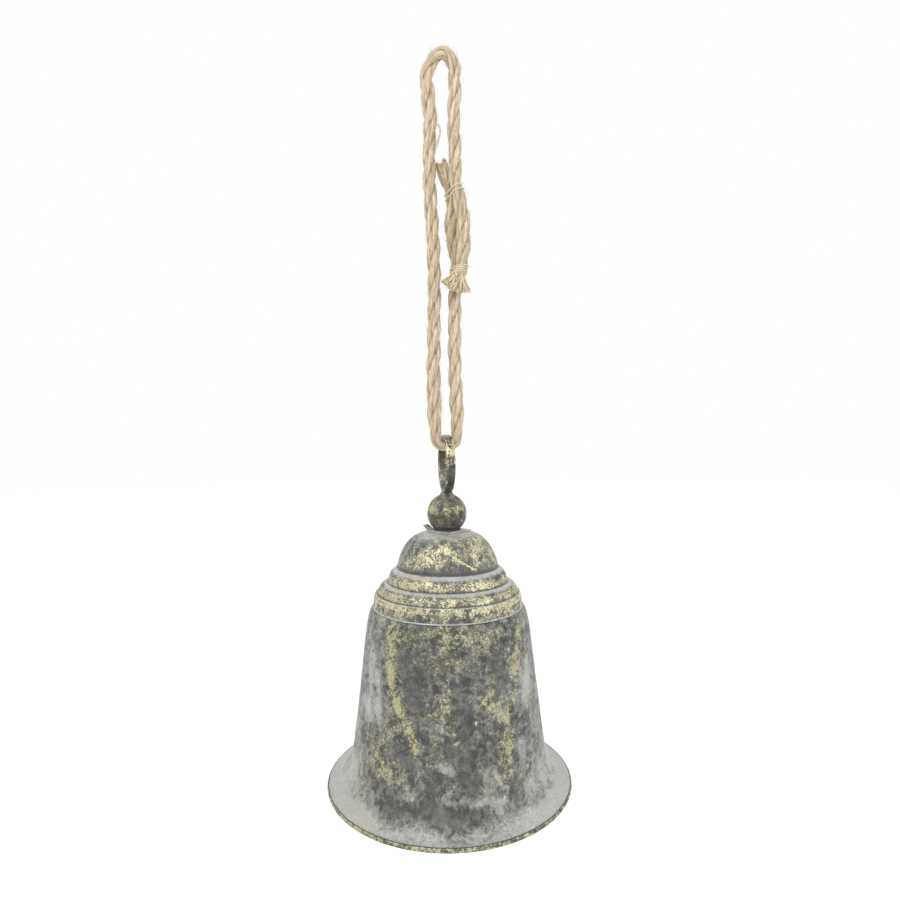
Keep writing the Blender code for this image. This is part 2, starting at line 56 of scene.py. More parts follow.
# Camera, floor and lights
studio = {
    "cameraAt": (0.0032, -0.5325, -0.3118),
    "cameraRoll": math.radians(0.58),
    "lens": 25.56,
    "lensShift": -0.0183,
    "floorZ": -0.95,
    "floorRadius": 9.0,
    "worldLight": 1.0,
    "lightsAimAt": (0.0, 0.0, -0.42),
    "lights": {"key": ((-0.5, -0.7, 0.75), 7.0), "fill": ((0.9, -0.5, 0.1), 2.2)},
    "lightSize": 0.9,
}


def setInputs(node, values):
    for label, value in values.items():
        node.inputs[label].default_value = value


def buildStudio():
    scene = bpy.context.scene
    lens = bpy.data.cameras.new("camera")
    lens.lens = studio["lens"]
    lens.sensor_width = 36.0
    lens.shift_y = studio["lensShift"]
    lens.clip_start = 0.01
    camera = newObject("camera", lens)
    camera.location = studio["cameraAt"]
    camera.rotation_euler = (math.pi / 2, studio["cameraRoll"], 0.0)
    scene.camera = camera
    scene.view_settings.view_transform = "Standard"

    world = scene.world or bpy.data.worlds.new("studio")
    scene.world = world
    world.use_nodes = True
    setInputs(world.node_tree.nodes["Background"],
              {"Color": (1.0, 1.0, 1.0, 1.0), "Strength": studio["worldLight"]})
    for name, (place, power) in studio["lights"].items():
        light = bpy.data.lights.new(name, "AREA")
        light.shape = "DISK"
        light.size = studio["lightSize"]
        light.energy = power
        lamp = newObject(name, light)
        lamp.location = place
        aim = Vector(studio["lightsAimAt"]) - Vector(place)
        lamp.rotation_euler = aim.to_track_quat("-Z", "Y").to_euler()

    bm = bmesh.new()
    bmesh.ops.create_circle(bm, cap_ends=True, segments=64, radius=studio["floorRadius"])
    bmesh.ops.translate(bm, verts=bm.verts, vec=(0.0, 0.0, studio["floorZ"]))
    mesh = bpy.data.meshes.new("floor")
    bm.to_mesh(mesh)
    bm.free()
    paint = bpy.data.materials.new("paleFloor")
    paint.use_nodes = True
    setInputs(paint.node_tree.nodes["Principled BSDF"], {
        "Base Color": (0.93, 0.93, 0.93, 1.0), "Roughness": 0.8,
        "Emission Color": (1.0, 1.0, 1.0, 1.0), "Emission Strength": 0.12,
    })
    mesh.materials.append(paint)
    newObject("floor", mesh)


buildStudio()
print("studio ready")


# Shader helpers and the groups that several materials share

# a node with its settings and its inputs, each a value or a socket to link from
def addNode(tree, kind, inputs=None, **settings):
    node = tree.nodes.new(kind)
    for name, value in settings.items():
        setattr(node, name, value)
    for key, value in (inputs or {}).items():
        socket = node.inputs[key]
        if isinstance(value, bpy.types.NodeSocket):
            tree.links.new(value, socket)
        else:
            socket.default_value = value
    return node


def mathNode(tree, operation, first, second=0.0, clamp=False):
    node = addNode(tree, "ShaderNodeMath", {0: first, 1: second}, operation=operation)
    node.use_clamp = clamp
    return node.outputs[0]


def rampNode(tree, value, low, high, lowOut=0.0, highOut=1.0):
    node = addNode(tree, "ShaderNodeMapRange", {
        "Value": value, "From Min": low, "From Max": high, "To Min": lowOut, "To Max": highOut,
    }, interpolation_type="SMOOTHSTEP")
    return node.outputs["Result"]


def plus(tree, *terms):
    total = terms[0]
    for term in terms[1:]:
        total = mathNode(tree, "ADD", total, term)
    return total


def times(tree, first, second):
    return mathNode(tree, "MULTIPLY", first, second)


# a noise moved to swing about nought, this many times as strong
def swing(tree, value, strength):
    return times(tree, mathNode(tree, "SUBTRACT", value, 0.5), strength)


def mixNode(tree, share, first, second):
    return addNode(tree, "ShaderNodeMix", {0: share, 6: first, 7: second}, data_type="RGBA").outputs[2]


def mixValues(tree, share, first, second):
    return addNode(tree, "ShaderNodeMix", {0: share, 2: first, 3: second}, data_type="FLOAT").outputs[0]


def noiseNode(tree, vector, scale, detail=2.0, roughness=0.5, distortion=0.0):
    return addNode(tree, "ShaderNodeTexNoise", {
        "Vector": vector, "Scale": scale, "Detail": detail,
        "Roughness": roughness, "Distortion": distortion,
    }).outputs[0]


def attributeNode(tree, label):
    return addNode(tree, "ShaderNodeAttribute", attribute_name=label).outputs["Fac"]


# a shader or geometry tree with its inputs (name, kind, value) and outputs (name, kind)
def newGroup(name, inputs, outputs, treeKind="ShaderNodeTree"):
    tree = bpy.data.node_groups.new(name, treeKind)
    for label, kind, value in inputs:
        socket = tree.interface.new_socket(label, in_out="INPUT", socket_type="NodeSocket" + kind)
        if value is not None:
            socket.default_value = value
    for label, kind in outputs:
        tree.interface.new_socket(label, in_out="OUTPUT", socket_type="NodeSocket" + kind)
    return tree, tree.nodes.new("NodeGroupInput").outputs, tree.nodes.new("NodeGroupOutput").inputs


def sendOut(tree, out, values):
    for label, value in values.items():
        tree.links.new(value, out[label])
    return tree


def buildPatina():
    tree, given, out = newGroup("weatheredBrass", [
        ("Vector", "Vector", None),
        ("Wear", "Float", 0.0),
        ("Bloom And Painted Light", "Float", 0.0),
        ("Grime And Shade", "Float", 0.0),
        ("Dark", "Color", (0.05, 0.045, 0.04, 1.0)),
        ("Mid", "Color", (0.13, 0.12, 0.11, 1.0)),
        ("Brass", "Color", (0.5, 0.42, 0.18, 1.0)),
        ("Bright", "Color", (0.75, 0.66, 0.36, 1.0)),
        ("Bloom", "Color", (0.4, 0.4, 0.39, 1.0)),
        ("Bloom Shade", "Color", (0.25, 0.25, 0.24, 1.0)),
        ("Sand", "Color", (0.42, 0.39, 0.32, 1.0)),
        ("Grain", "Float", 1.0),
    ], [("Color", "Color"), ("Roughness", "Float"), ("Metallic", "Float"), ("Height", "Float")])
    where = given["Vector"]
    broad = noiseNode(tree, where, 38.0, 4.0, 0.6, 0.4)
    middle = noiseNode(tree, where, 170.0, 4.0, 0.65, 0.6)
    grain = noiseNode(tree, where, times(tree, given["Grain"], 620.0), 3.0, 0.7)
    speck = noiseNode(tree, where, 1500.0, 2.0, 0.6)

    # tarnish: dark and mid grey in soft clouds
    clouds = plus(tree, times(tree, middle, 0.55), times(tree, grain, 0.2), times(tree, broad, 0.25))
    color = mixNode(tree, rampNode(tree, clouds, 0.38, 0.6), given["Dark"], given["Mid"])

    # zinc bloom, with the painted light, sheen and reflection that its mask carries
    bloomSum = plus(tree, given["Bloom And Painted Light"], swing(tree, middle, 1.1), swing(tree, grain, 0.5))
    bloom = rampNode(tree, bloomSum, 0.12, 0.95, 0.0, 0.9)
    powder = plus(tree, times(tree, grain, 0.55), times(tree, speck, 0.45))
    dusty = mixNode(tree, rampNode(tree, powder, 0.36, 0.64), given["Bloom Shade"], given["Bloom"])
    sandy = times(tree, rampNode(tree, noiseNode(tree, where, 21.0, 2.0, 0.5), 0.5, 0.66), 0.4)
    color = mixNode(tree, bloom, color, mixNode(tree, sandy, dusty, given["Sand"]))

    # rubbed brass with a crumbled edge
    wearSum = plus(tree, given["Wear"], swing(tree, broad, 1.0), swing(tree, middle, 1.5),
                   swing(tree, grain, 1.9), swing(tree, speck, 0.6))
    rubbed = rampNode(tree, wearSum, 0.45, 0.62)
    stain = rampNode(tree, wearSum, 0.12, 0.58, 0.0, 0.42)
    brass = mixNode(tree, rampNode(tree, grain, 0.35, 0.65), given["Brass"], given["Bright"])
    color = mixNode(tree, rubbed, mixNode(tree, stain, color, given["Brass"]), brass)

    # grime and painted shade in the corners, creases and undersides
    soilAndShade = rampNode(tree, plus(tree, given["Grime And Shade"], swing(tree, middle, 0.9)), 0.25, 0.85)
    color = mixNode(tree, times(tree, soilAndShade, 0.8), color, (0.035, 0.028, 0.02, 1.0))

    # lime flecks in a few of the cells
    cell = addNode(tree, "ShaderNodeTexVoronoi", {"Vector": where, "Scale": 150.0, "Randomness": 1.0})
    pick = addNode(tree, "ShaderNodeSeparateColor", {0: cell.outputs["Color"]}).outputs[0]
    ragged = plus(tree, cell.outputs["Distance"], swing(tree, grain, 1.3))
    fleck = times(tree, mathNode(tree, "GREATER_THAN", pick, 0.962), rampNode(tree, ragged, 0.22, 0.08))
    color = mixNode(tree, times(tree, fleck, 0.75), color, (0.56, 0.58, 0.6, 1.0))

    rough = mixValues(tree, rubbed, mixValues(tree, bloom, 0.5, 0.62), 0.4)
    rough = mathNode(tree, "ADD", rough, swing(tree, grain, 0.25), True)
    metal = mixValues(tree, rubbed, mixValues(tree, bloom, 0.55, 0.3), 0.85)
    metal = mixValues(tree, mathNode(tree, "MAXIMUM", soilAndShade, fleck), metal, 0.1)
    height = plus(tree, times(tree, rubbed, -0.35), times(tree, grain, 0.5),
                  times(tree, speck, 0.25), times(tree, fleck, 0.4))
    return sendOut(tree, out, {"Color": color, "Roughness": rough, "Metallic": metal, "Height": height})


def buildFibreGrain():
    tree, given, out = newGroup("fibreGrain", [
        ("Vector", "Vector", None),
        ("Along", "Float", 130.0),
        ("Across", "Float", 2000.0),
    ], [("Tone", "Float"), ("Stain", "Float"), ("Height", "Float")])
    scale = addNode(tree, "ShaderNodeCombineXYZ", {0: given["Along"], 1: given["Across"], 2: 1.0})
    stretched = addNode(tree, "ShaderNodeVectorMath", {0: given["Vector"], 1: scale.outputs[0]},
                        operation="MULTIPLY")
    fine = noiseNode(tree, stretched.outputs[0], 1.0, 3.0, 0.65, 0.2)
    coarse = noiseNode(tree, stretched.outputs[0], 0.28, 2.0, 0.5, 0.3)
    patches = noiseNode(tree, given["Vector"], 55.0, 3.0, 0.6)
    tone = plus(tree, times(tree, fine, 0.55), times(tree, coarse, 0.45))
    return sendOut(tree, out, {
        "Tone": rampNode(tree, tone, 0.38, 0.62), "Stain": rampNode(tree, patches, 0.35, 0.75),
        "Height": plus(tree, fine, times(tree, coarse, 0.8)),
    })


def buildScale():
    tree, given, out = newGroup("forgedScale", [
        ("Vector", "Vector", None),
        ("Size", "Float", 1.0),
    ], [("Tone", "Float"), ("Pits", "Float"), ("Height", "Float")])
    clouds = noiseNode(tree, given["Vector"], times(tree, given["Size"], 220.0), 5.0, 0.65, 0.5)
    grain = noiseNode(tree, given["Vector"], times(tree, given["Size"], 1400.0), 3.0, 0.6)
    return sendOut(tree, out, {
        "Tone": rampNode(tree, clouds, 0.35, 0.68), "Pits": rampNode(tree, grain, 0.62, 0.72),
        "Height": plus(tree, clouds, times(tree, grain, 0.6)),
    })


patinaGroup = buildPatina()
fibreGroup = buildFibreGrain()
scaleGroup = buildScale()


def newMaterial(name):
    material = bpy.data.materials.new(name)
    material.use_nodes = True
    return material, material.node_tree, material.node_tree.nodes["Principled BSDF"]


def useGroup(tree, group, inputs):
    return addNode(tree, "ShaderNodeGroup", inputs, node_tree=group).outputs


def linkShader(tree, shader, sockets, height, depth):
    for label, value in sockets.items():
        tree.links.new(value, shader.inputs[label])
    bump = addNode(tree, "ShaderNodeBump", {"Height": height, "Distance": depth, "Strength": 1.0})
    tree.links.new(bump.outputs[0], shader.inputs["Normal"])


def brassMaterial(name, values):
    material, tree, shader = newMaterial(name)
    where = tree.nodes.new("ShaderNodeTexCoord").outputs["Object"]
    shifted = addNode(tree, "ShaderNodeMapping", {"Vector": where, "Location": values["shift"]}).outputs[0]
    made = useGroup(tree, patinaGroup, {
        "Vector": shifted, "Wear": attributeNode(tree, "wear"), "Bloom And Painted Light": attributeNode(tree, "bloomAndPaintedLight"),
        "Grime And Shade": attributeNode(tree, "grimeAndShade"), "Grain": values["grain"], "Dark": values["dark"],
        "Mid": values["mid"], "Brass": values["brass"], "Bright": values["bright"],
        "Bloom": values["bloom"], "Bloom Shade": values["bloomShade"],
    })
    sockets = {"Base Color": made["Color"], "Roughness": made["Roughness"], "Metallic": made["Metallic"]}
    linkShader(tree, shader, sockets, made["Height"], values["relief"])
    return material


def fibreMaterial(name, values):
    material, tree, shader = newMaterial(name)
    uv = tree.nodes.new("ShaderNodeUVMap").outputs[0]
    made = useGroup(tree, fibreGroup, {"Vector": uv, "Along": values["along"], "Across": values["across"]})
    color = mixNode(tree, made["Tone"], values["shade"], values["light"])
    color = mixNode(tree, times(tree, made["Stain"], 0.35), color, values["stain"])
    # painted shade in the rope's grooves, and darker yarns
    color = mixNode(tree, attributeNode(tree, "grooveShadeAndTone"), color, values["darkYarnAndShade"])
    sockets = {"Base Color": color, "Roughness": mixValues(tree, made["Tone"], 0.95, 0.78)}
    linkShader(tree, shader, sockets, made["Height"], values["relief"])
    setInputs(shader, {"Sheen Weight": 0.15, "Sheen Roughness": 0.5})
    return material


def metalMaterial(name, values):
    material, tree, shader = newMaterial(name)
    where = tree.nodes.new("ShaderNodeTexCoord").outputs["Object"]
    made = useGroup(tree, scaleGroup, {"Vector": where, "Size": 1.0})
    color = mixNode(tree, made["Tone"], values["dark"], values["light"])
    color = mixNode(tree, made["Pits"], color, values["pit"])
    sockets = {"Base Color": color, "Roughness": mixValues(tree, made["Tone"], *values["rough"])}
    linkShader(tree, shader, sockets, made["Height"], values["relief"])
    setInputs(shader, {"Metallic": values["metallic"]})
    return material


shellBrass = {
    "shift": (0.0, 0.0, 0.0), "grain": 1.0, "relief": 0.00025,
    "dark": (0.062, 0.064, 0.059, 1.0), "mid": (0.15, 0.15, 0.142, 1.0),
    "brass": (0.37, 0.35, 0.185, 1.0), "bright": (0.5, 0.485, 0.295, 1.0),
    "bloom": (0.54, 0.55, 0.52, 1.0), "bloomShade": (0.36, 0.365, 0.345, 1.0),
}
crownBrass = {
    **shellBrass, "shift": (0.31, 0.0, 0.0), "grain": 1.3,
    "dark": (0.08, 0.082, 0.076, 1.0), "mid": (0.19, 0.19, 0.18, 1.0),
    "brass": (0.41, 0.385, 0.22, 1.0), "bright": (0.7, 0.665, 0.43, 1.0),
    "bloom": (0.6, 0.61, 0.59, 1.0), "bloomShade": (0.36, 0.36, 0.355, 1.0),
}
ringBrass = {
    **shellBrass, "shift": (0.0, 0.73, 0.0), "grain": 1.3, "relief": 0.0002,
    "dark": (0.045, 0.041, 0.034, 1.0), "mid": (0.14, 0.132, 0.115, 1.0),
    "bright": (0.8, 0.72, 0.46, 1.0),
}
ballBrass = {
    **shellBrass, "shift": (0.0, 0.0, 0.57), "grain": 1.3, "relief": 0.0002,
    "dark": (0.05, 0.045, 0.038, 1.0), "mid": (0.15, 0.142, 0.124, 1.0),
}
juteValues = {
    "along": 90.0, "across": 2600.0, "relief": 0.00022,
    "light": (0.82, 0.7, 0.5, 1.0), "shade": (0.42, 0.335, 0.21, 1.0), "stain": (0.52, 0.39, 0.245, 1.0),
    "darkYarnAndShade": (0.2, 0.15, 0.088, 1.0),
}
twineValues = {
    "along": 200.0, "across": 5200.0, "relief": 0.0001,
    "light": (0.88, 0.8, 0.62, 1.0), "shade": (0.6, 0.5, 0.34, 1.0), "stain": (0.66, 0.54, 0.37, 1.0),
    "darkYarnAndShade": (0.17, 0.125, 0.07, 1.0),
}
zincValues = {
    "rough": (0.5, 0.68), "metallic": 0.75, "relief": 0.00008,
    "dark": (0.4, 0.405, 0.4, 1.0), "light": (0.62, 0.63, 0.62, 1.0), "pit": (0.28, 0.26, 0.23, 1.0),
}
solderValues = {
    "rough": (0.35, 0.55), "metallic": 0.7, "relief": 0.0001,
    "dark": (0.34, 0.36, 0.36, 1.0), "light": (0.58, 0.61, 0.61, 1.0), "pit": (0.2, 0.18, 0.15, 1.0),
}
ironValues = {
    "rough": (0.52, 0.72), "metallic": 0.8, "relief": 0.0002,
    "dark": (0.035, 0.031, 0.028, 1.0), "light": (0.115, 0.1, 0.088, 1.0), "pit": (0.16, 0.085, 0.045, 1.0),
}
crownFinish = brassMaterial("agedBrassCrown", crownBrass)
shellFinish = brassMaterial("agedBrassBody", shellBrass)
ringFinish = brassMaterial("agedBrassRing", ringBrass)
ballFinish = brassMaterial("agedBrassBall", ballBrass)
juteFinish = fibreMaterial("juteRope", juteValues)
twineFinish = fibreMaterial("lightTwine", twineValues)
zincFinish = metalMaterial("dullZinc", zincValues)
solderFinish = metalMaterial("tinSolder", solderValues)
ironFinish = metalMaterial("forgedIron", ironValues)
print("materials ready")


# Mesh helpers

def meshPiece(name, points, faces, finish, uvs=None, layers=None):
    mesh = bpy.data.meshes.new(name)
    mesh.from_pydata([tuple(p) for p in points], [], faces)
    if uvs is not None:
        data = mesh.uv_layers.new(name="UVMap").data
        data.foreach_set("uv", np.asarray(uvs, np.float32).ravel())
    for label, values in (layers or {}).items():
        attribute = mesh.attributes.new(label, "FLOAT", "POINT")
        attribute.data.foreach_set("value", np.asarray(values, np.float32))
    mesh.materials.append(finish)
    mesh.shade_smooth()
    mesh.update()
    return newObject(name, mesh)


# quads between rows of points that each close on themselves
def gridFaces(rows, columns, wrapRows):
    lower = np.arange(rows if wrapRows else rows - 1)[:, None] * columns
    upper = (lower + columns) % (rows * columns)
    across = np.arange(columns)
    after = (across + 1) % columns
    quads = np.stack([lower + across, lower + after, upper + after, upper + across], axis=-1)
    return quads.reshape(-1, 4).tolist()


# a smooth line through rows of numbers, with some steps on each span
def smoothCurve(nodes, steps):
    nodes = np.array(nodes, float)
    spans = np.linalg.norm(np.diff(nodes[:, :3], axis=0), axis=1)[:, None]
    runs = np.diff(nodes, axis=0) / spans
    between = (runs[:-1] * spans[1:] + runs[1:] * spans[:-1]) / (spans[:-1] + spans[1:])
    slopes = np.vstack([runs[:1], between, runs[-1:]])
    t = np.linspace(0.0, 1.0, steps + 1)[1:, None]
    line = [nodes[:1]]
    for index, span in enumerate(spans):
        line.append(
            (2 * t ** 3 - 3 * t ** 2 + 1) * nodes[index] + (t ** 3 - 2 * t ** 2 + t) * span * slopes[index]
            + (3 * t ** 2 - 2 * t ** 3) * nodes[index + 1] + (t ** 3 - t ** 2) * span * slopes[index + 1]
        )
    return np.vstack(line)


# the line again with points a step apart, and how far along each one is
def evenly(line, step):
    along = np.concatenate([[0.0], np.cumsum(np.linalg.norm(np.diff(line[:, :3], axis=0), axis=1))])
    places = np.linspace(0.0, along[-1], max(2, round(along[-1] / step) + 1))
    return np.stack([np.interp(places, along, column) for column in line.T], axis=1), places


# unit tangents and two normals that don't twist along a line
def framesAlong(line, closed=False):
    tangents = np.gradient(line, axis=0)
    if closed:
        tangents = np.roll(line, -1, axis=0) - np.roll(line, 1, axis=0)
    tangents /= np.linalg.norm(tangents, axis=1)[:, None]
    normal = np.cross(tangents[0], (0.0, 1.0, 0.0))
    if np.linalg.norm(normal) < 0.1:
        normal = np.cross(tangents[0], (1.0, 0.0, 0.0))
    normals = []
    for tangent in tangents:
        normal = normal - tangent * np.dot(normal, tangent)
        normal /= np.linalg.norm(normal)
        normals.append(normal)
    normals = np.array(normals)
    return tangents, normals, np.cross(tangents, normals)


# smooth noise from -1 to 1 at each point
def wander(points, size, seed):
    shift = Vector((seed * 7.31, seed * 3.77, seed * 5.19))
    return np.array([noise.noise(Vector(p) / size + shift) for p in points])


def bump01(value, middle, width):
    return np.exp(-((value - middle) / width) ** 2)


# Rope: three strands laid to the right, each of soft yarns; (x, y, z, share of the thickness)
ropeRoute = [
    (0.0131, -0.0048, -0.1806, 0.88), (0.0141, -0.0048, -0.174, 0.88),
    (0.0155, -0.0056, -0.161, 1.05), (0.0161, -0.0052, -0.142, 1.06),
    (0.0136, -0.005, -0.1215, 1.0), (0.011, -0.0046, -0.11, 0.88),
    (0.0096, -0.0038, -0.097, 1.0), (0.0099, -0.0014, -0.084, 1.0),
    (0.0089, 0.0, -0.05, 1.0), (0.0102, 0.0, -0.02, 1.0),
    (0.0096, 0.0, -0.007, 1.0), (0.0056, 0.0, 0.0026, 1.0),
    (0.0, 0.0, 0.0054, 1.0), (-0.0056, 0.0, 0.0026, 1.0),
    (-0.0112, 0.0, -0.0056, 1.0), (-0.0134, 0.0, -0.017, 1.0),
    (-0.0119, 0.0, -0.03, 1.0), (-0.0106, 0.0, -0.044, 1.0),
    (-0.0116, -0.0002, -0.072, 1.0), (-0.0115, -0.0011, -0.108, 1.0),
    (-0.0092, -0.0009, -0.155, 1.0), (-0.0087, 0.0, -0.198, 1.0),
    (-0.0094, 0.0, -0.226, 1.0), (-0.0094, -0.0015, -0.3, 1.0),
    (-0.0088, -0.0015, -0.313, 0.86), (-0.0068, -0.0012, -0.3195, 0.8),
    (-0.0034, -0.0006, -0.3217, 0.83), (0.0, 0.0, -0.3221, 0.86),
    (0.0034, 0.0006, -0.3217, 0.83), (0.0068, 0.0012, -0.3195, 0.8),
    (0.0088, 0.0015, -0.313, 0.86), (0.0092, 0.0016, -0.299, 1.0),
    (0.0078, 0.001, -0.255, 1.0), (0.008, 0.0018, -0.22, 1.0),
    (0.0088, 0.0048, -0.19, 1.0), (0.0098, 0.005, -0.1745, 0.88),
    (0.0065, 0.0056, -0.14, 1.1), (0.0061, 0.005, -0.11, 0.88),
    (0.0026, 0.006, -0.099, 1.0), (-0.0014, 0.0069, -0.0855, 1.0),
]
rope = {
    "radius": 0.0054,
    "lay": 0.065,          # length of one full turn of the strands
    "startTurn": 0.3,      # of a turn
    "strandReach": 0.44,   # middle of a strand from the rope's middle, in radii
    "strandRadius": 0.6,
    "yarns": 13,           # round each strand
    "yarnLay": 0.0436,
    "yarnDepth": 0.00042,
    "unevenness": 0.00024,
    "lumps": 0.0003,
    "step": 0.00098,
    "columns": 38,         # on each strand
    "looseAt": (0.236, 0.02),   # where one strand stands away, and over what length
    "looseBy": 0.0011,
}
ropeLine, ropeAlong = evenly(smoothCurve(ropeRoute, 24), rope["step"])


def buildRope():
    path, shares = ropeLine[:, :3], ropeLine[:, 3]
    rings, columns = len(path), rope["columns"] * 3
    tangents, normals, across = framesAlong(path)
    turn = tau * (ropeAlong / rope["lay"] + rope["startTurn"])
    around = np.arange(columns) / columns * tau
    strand = np.arange(columns) // rope["columns"]
    local = around - (strand + 0.5) * tau / 3
    radius = rope["radius"] * shares[:, None]
    loose = bump01(ropeAlong, *rope["looseAt"])[:, None] * (strand == 1)[None, :]
    reach = radius * rope["strandReach"]
    inside = (radius * rope["strandRadius"]) ** 2 - (reach * np.sin(local)) ** 2
    out = reach * np.cos(local) + np.sqrt(np.maximum(inside, 0.0))
    out = out + loose * rope["looseBy"] * np.sqrt(np.maximum(np.cos(local * 1.5), 0.0))[None, :]

    # yarns run back against the strands' turn
    yarnAngle = np.arctan2(out * np.sin(local), out * np.cos(local) - reach)
    phase = rope["yarns"] * (yarnAngle / tau + ropeAlong[:, None] / rope["yarnLay"]) + strand * 0.37
    yarn = np.floor(phase)
    part = 2 * (phase - yarn) - 1
    thick = 0.75 + 0.35 * np.sin(yarn * 12.9898 + strand * 78.233)
    out = out + rope["yarnDepth"] * (np.sqrt(1 - np.minimum(part ** 2, 0.97)) - 0.6) * thick

    angle = around[None, :] + turn[:, None]
    spoke = np.cos(angle)[..., None] * normals[:, None, :] + np.sin(angle)[..., None] * across[:, None, :]
    flat = (path[:, None, :] + spoke * out[..., None]).reshape(-1, 3)
    uneven = wander(flat, 0.006, 1) + 0.5 * wander(flat, 0.0022, 2)
    swell = uneven * rope["unevenness"] + wander(flat, 0.017, 3) * rope["lumps"]
    points = flat + spoke.reshape(-1, 3) * swell[:, None]

    # painted shade between the strands and between the yarns, and no two yarns quite alike in tone
    grooveShade = np.clip((np.abs(local) / (tau / 6) - 0.62) / 0.38, 0.0, 1.0)[None, :] ** 1.6
    valleyShade = np.clip((np.abs(part) - 0.55) / 0.45, 0.0, 1.0)
    odd = 0.5 + 0.5 * np.sin(yarn * 41.7 + strand * 17.3 + ropeAlong[:, None] / 0.011)
    blotch = wander(flat, 0.0035, 6) + 0.8 * wander(flat, 0.0016, 7)
    grooveShadeAndTone = np.clip(0.52 * grooveShade + 0.26 * valleyShade + 0.46 * odd ** 3
                     + 0.2 * blotch.reshape(rings, columns), 0.0, 0.8)

    # UV: metres along the rope, and yarns across it
    after = np.roll(phase, -1, axis=1)
    last = np.arange(columns) % rope["columns"] == rope["columns"] - 1
    after[:, last] = 2 * phase[:, last] - np.roll(phase, 1, axis=1)[:, last]
    near, far = (place * 0.0016 + strand * 0.05 for place in (phase, after))
    low = np.repeat(np.arange(rings - 1), columns)
    column = np.tile(np.arange(columns), rings - 1)
    corners = ((low, near), (low, far), (low + 1, far), (low + 1, near))
    uvs = np.stack([np.stack([ropeAlong[row], places[row, column]], -1) for row, places in corners], axis=1)
    uvs = np.vstack([uvs.reshape(-1, 2), np.zeros((columns * 6, 2))])

    faces = gridFaces(rings, columns, False)
    first, base = len(points), (rings - 1) * columns
    points = np.vstack([points, path[0] - tangents[0] * 0.001, path[-1] + tangents[-1] * 0.001])
    for index in range(columns):
        following = (index + 1) % columns
        faces.append((first, following, index))
        faces.append((first + 1, base + index, base + following))
    grooveShadeAndTone = np.append(grooveShadeAndTone.ravel(), (0.5, 0.5))
    return meshPiece("ropeLoop", points, faces, juteFinish, uvs, {"grooveShadeAndTone": grooveShadeAndTone})


ropeLoop = buildRope()
print("rope laid", len(ropeLoop.data.polygons))


# Yarns and twine: one tree lays two plies round any path

def endTree(tree, out, geometry, finish):
    real = addNode(tree, "GeometryNodeRealizeInstances", {"Geometry": geometry})
    done = addNode(tree, "GeometryNodeSetMaterial", {"Geometry": real.outputs[0], "Material": finish})
    return sendOut(tree, out, {"Geometry": done.outputs[0]})


def buildLaidYarn():
    tree, given, out = newGroup("laidYarn", [
        ("Geometry", "Geometry", None),
        ("Yarn Radius", "Float", 0.0004),
        ("Ply Share", "Float", 0.5),
        ("Lay", "Float", 0.003),
        ("Step", "Float", 0.0006),
        ("Sides", "Int", 6),
        ("Finish", "Material", None),
    ], [("Geometry", "Geometry")], "GeometryNodeTree")
    even = addNode(tree, "GeometryNodeResampleCurve", {"Curve": given["Geometry"], "Length": given["Step"]},
                   mode="LENGTH")
    tangent = tree.nodes.new("GeometryNodeInputTangent").outputs[0]
    normal = tree.nodes.new("GeometryNodeInputNormal").outputs[0]
    length = tree.nodes.new("GeometryNodeSplineParameter").outputs["Length"]
    share = tree.nodes.new("GeometryNodeInputRadius").outputs[0]
    plyRadius = times(tree, given["Yarn Radius"], given["Ply Share"])
    reach = times(tree, mathNode(tree, "SUBTRACT", given["Yarn Radius"], plyRadius), share)
    profile = addNode(tree, "GeometryNodeCurvePrimitiveCircle", {
        "Resolution": given["Sides"], "Radius": plyRadius,
    })
    joined = tree.nodes.new("GeometryNodeJoinGeometry")
    turn = times(tree, mathNode(tree, "DIVIDE", length, given["Lay"]), tau)
    for ply in (0.0, math.pi):
        spoke = addNode(tree, "ShaderNodeVectorRotate", {
            "Vector": normal, "Axis": tangent, "Angle": plus(tree, turn, ply),
        }, rotation_type="AXIS_ANGLE").outputs[0]
        offset = addNode(tree, "ShaderNodeVectorMath", {0: spoke, "Scale": reach}, operation="SCALE")
        moved = addNode(tree, "GeometryNodeSetPosition", {
            "Geometry": even.outputs[0], "Offset": offset.outputs[0],
        })
        tube = addNode(tree, "GeometryNodeCurveToMesh", {
            "Curve": moved.outputs[0], "Profile Curve": profile.outputs["Curve"], "Fill Caps": True,
        })
        if "Scale" in tube.inputs:
            tree.links.new(share, tube.inputs["Scale"])
        tree.links.new(tube.outputs[0], joined.inputs[0])
    smooth = addNode(tree, "GeometryNodeSetShadeSmooth", {"Geometry": joined.outputs[0]})
    return endTree(tree, out, smooth.outputs[0], given["Finish"])


laidYarn = buildLaidYarn()


def socketId(tree, label):
    return next(item.identifier for item in tree.interface.items_tree
                if item.item_type == "SOCKET" and item.in_out == "INPUT" and item.name == label)


# the plain mesh that a tree makes from a source object, which is then removed
def throughTree(name, source, tree, values):
    modifier = source.modifiers.new("nodes", "NODES")
    modifier.node_group = tree
    for label, value in values.items():
        modifier[socketId(tree, label)] = value
    bpy.context.view_layer.update()
    mesh = bpy.data.meshes.new_from_object(source.evaluated_get(bpy.context.evaluated_depsgraph_get()))
    mesh.name = name
    piece = newObject(name, mesh)
    source.modifiers.remove(modifier)
    bpy.data.objects.remove(source, do_unlink=True)
    return piece


# lengths along Z and turns round the yarn, for the grain of straight and wound yarns
def addYarnUvs(mesh, wound):
    spots = np.zeros(len(mesh.vertices) * 3, np.float32)
    mesh.vertices.foreach_get("co", spots)
    corners = np.zeros(len(mesh.loops), np.int32)
    mesh.loops.foreach_get("vertex_index", corners)
    x, y, z = spots.reshape(-1, 3)[corners].T
    uv = np.stack([np.arctan2(y, x - 0.012) * 0.009, z] if wound else [z, x + y * 0.7], -1)
    layer = mesh.uv_layers.get("UVMap") or mesh.uv_layers.new(name="UVMap")
    layer.data.foreach_set("uv", uv.astype(np.float32).ravel())


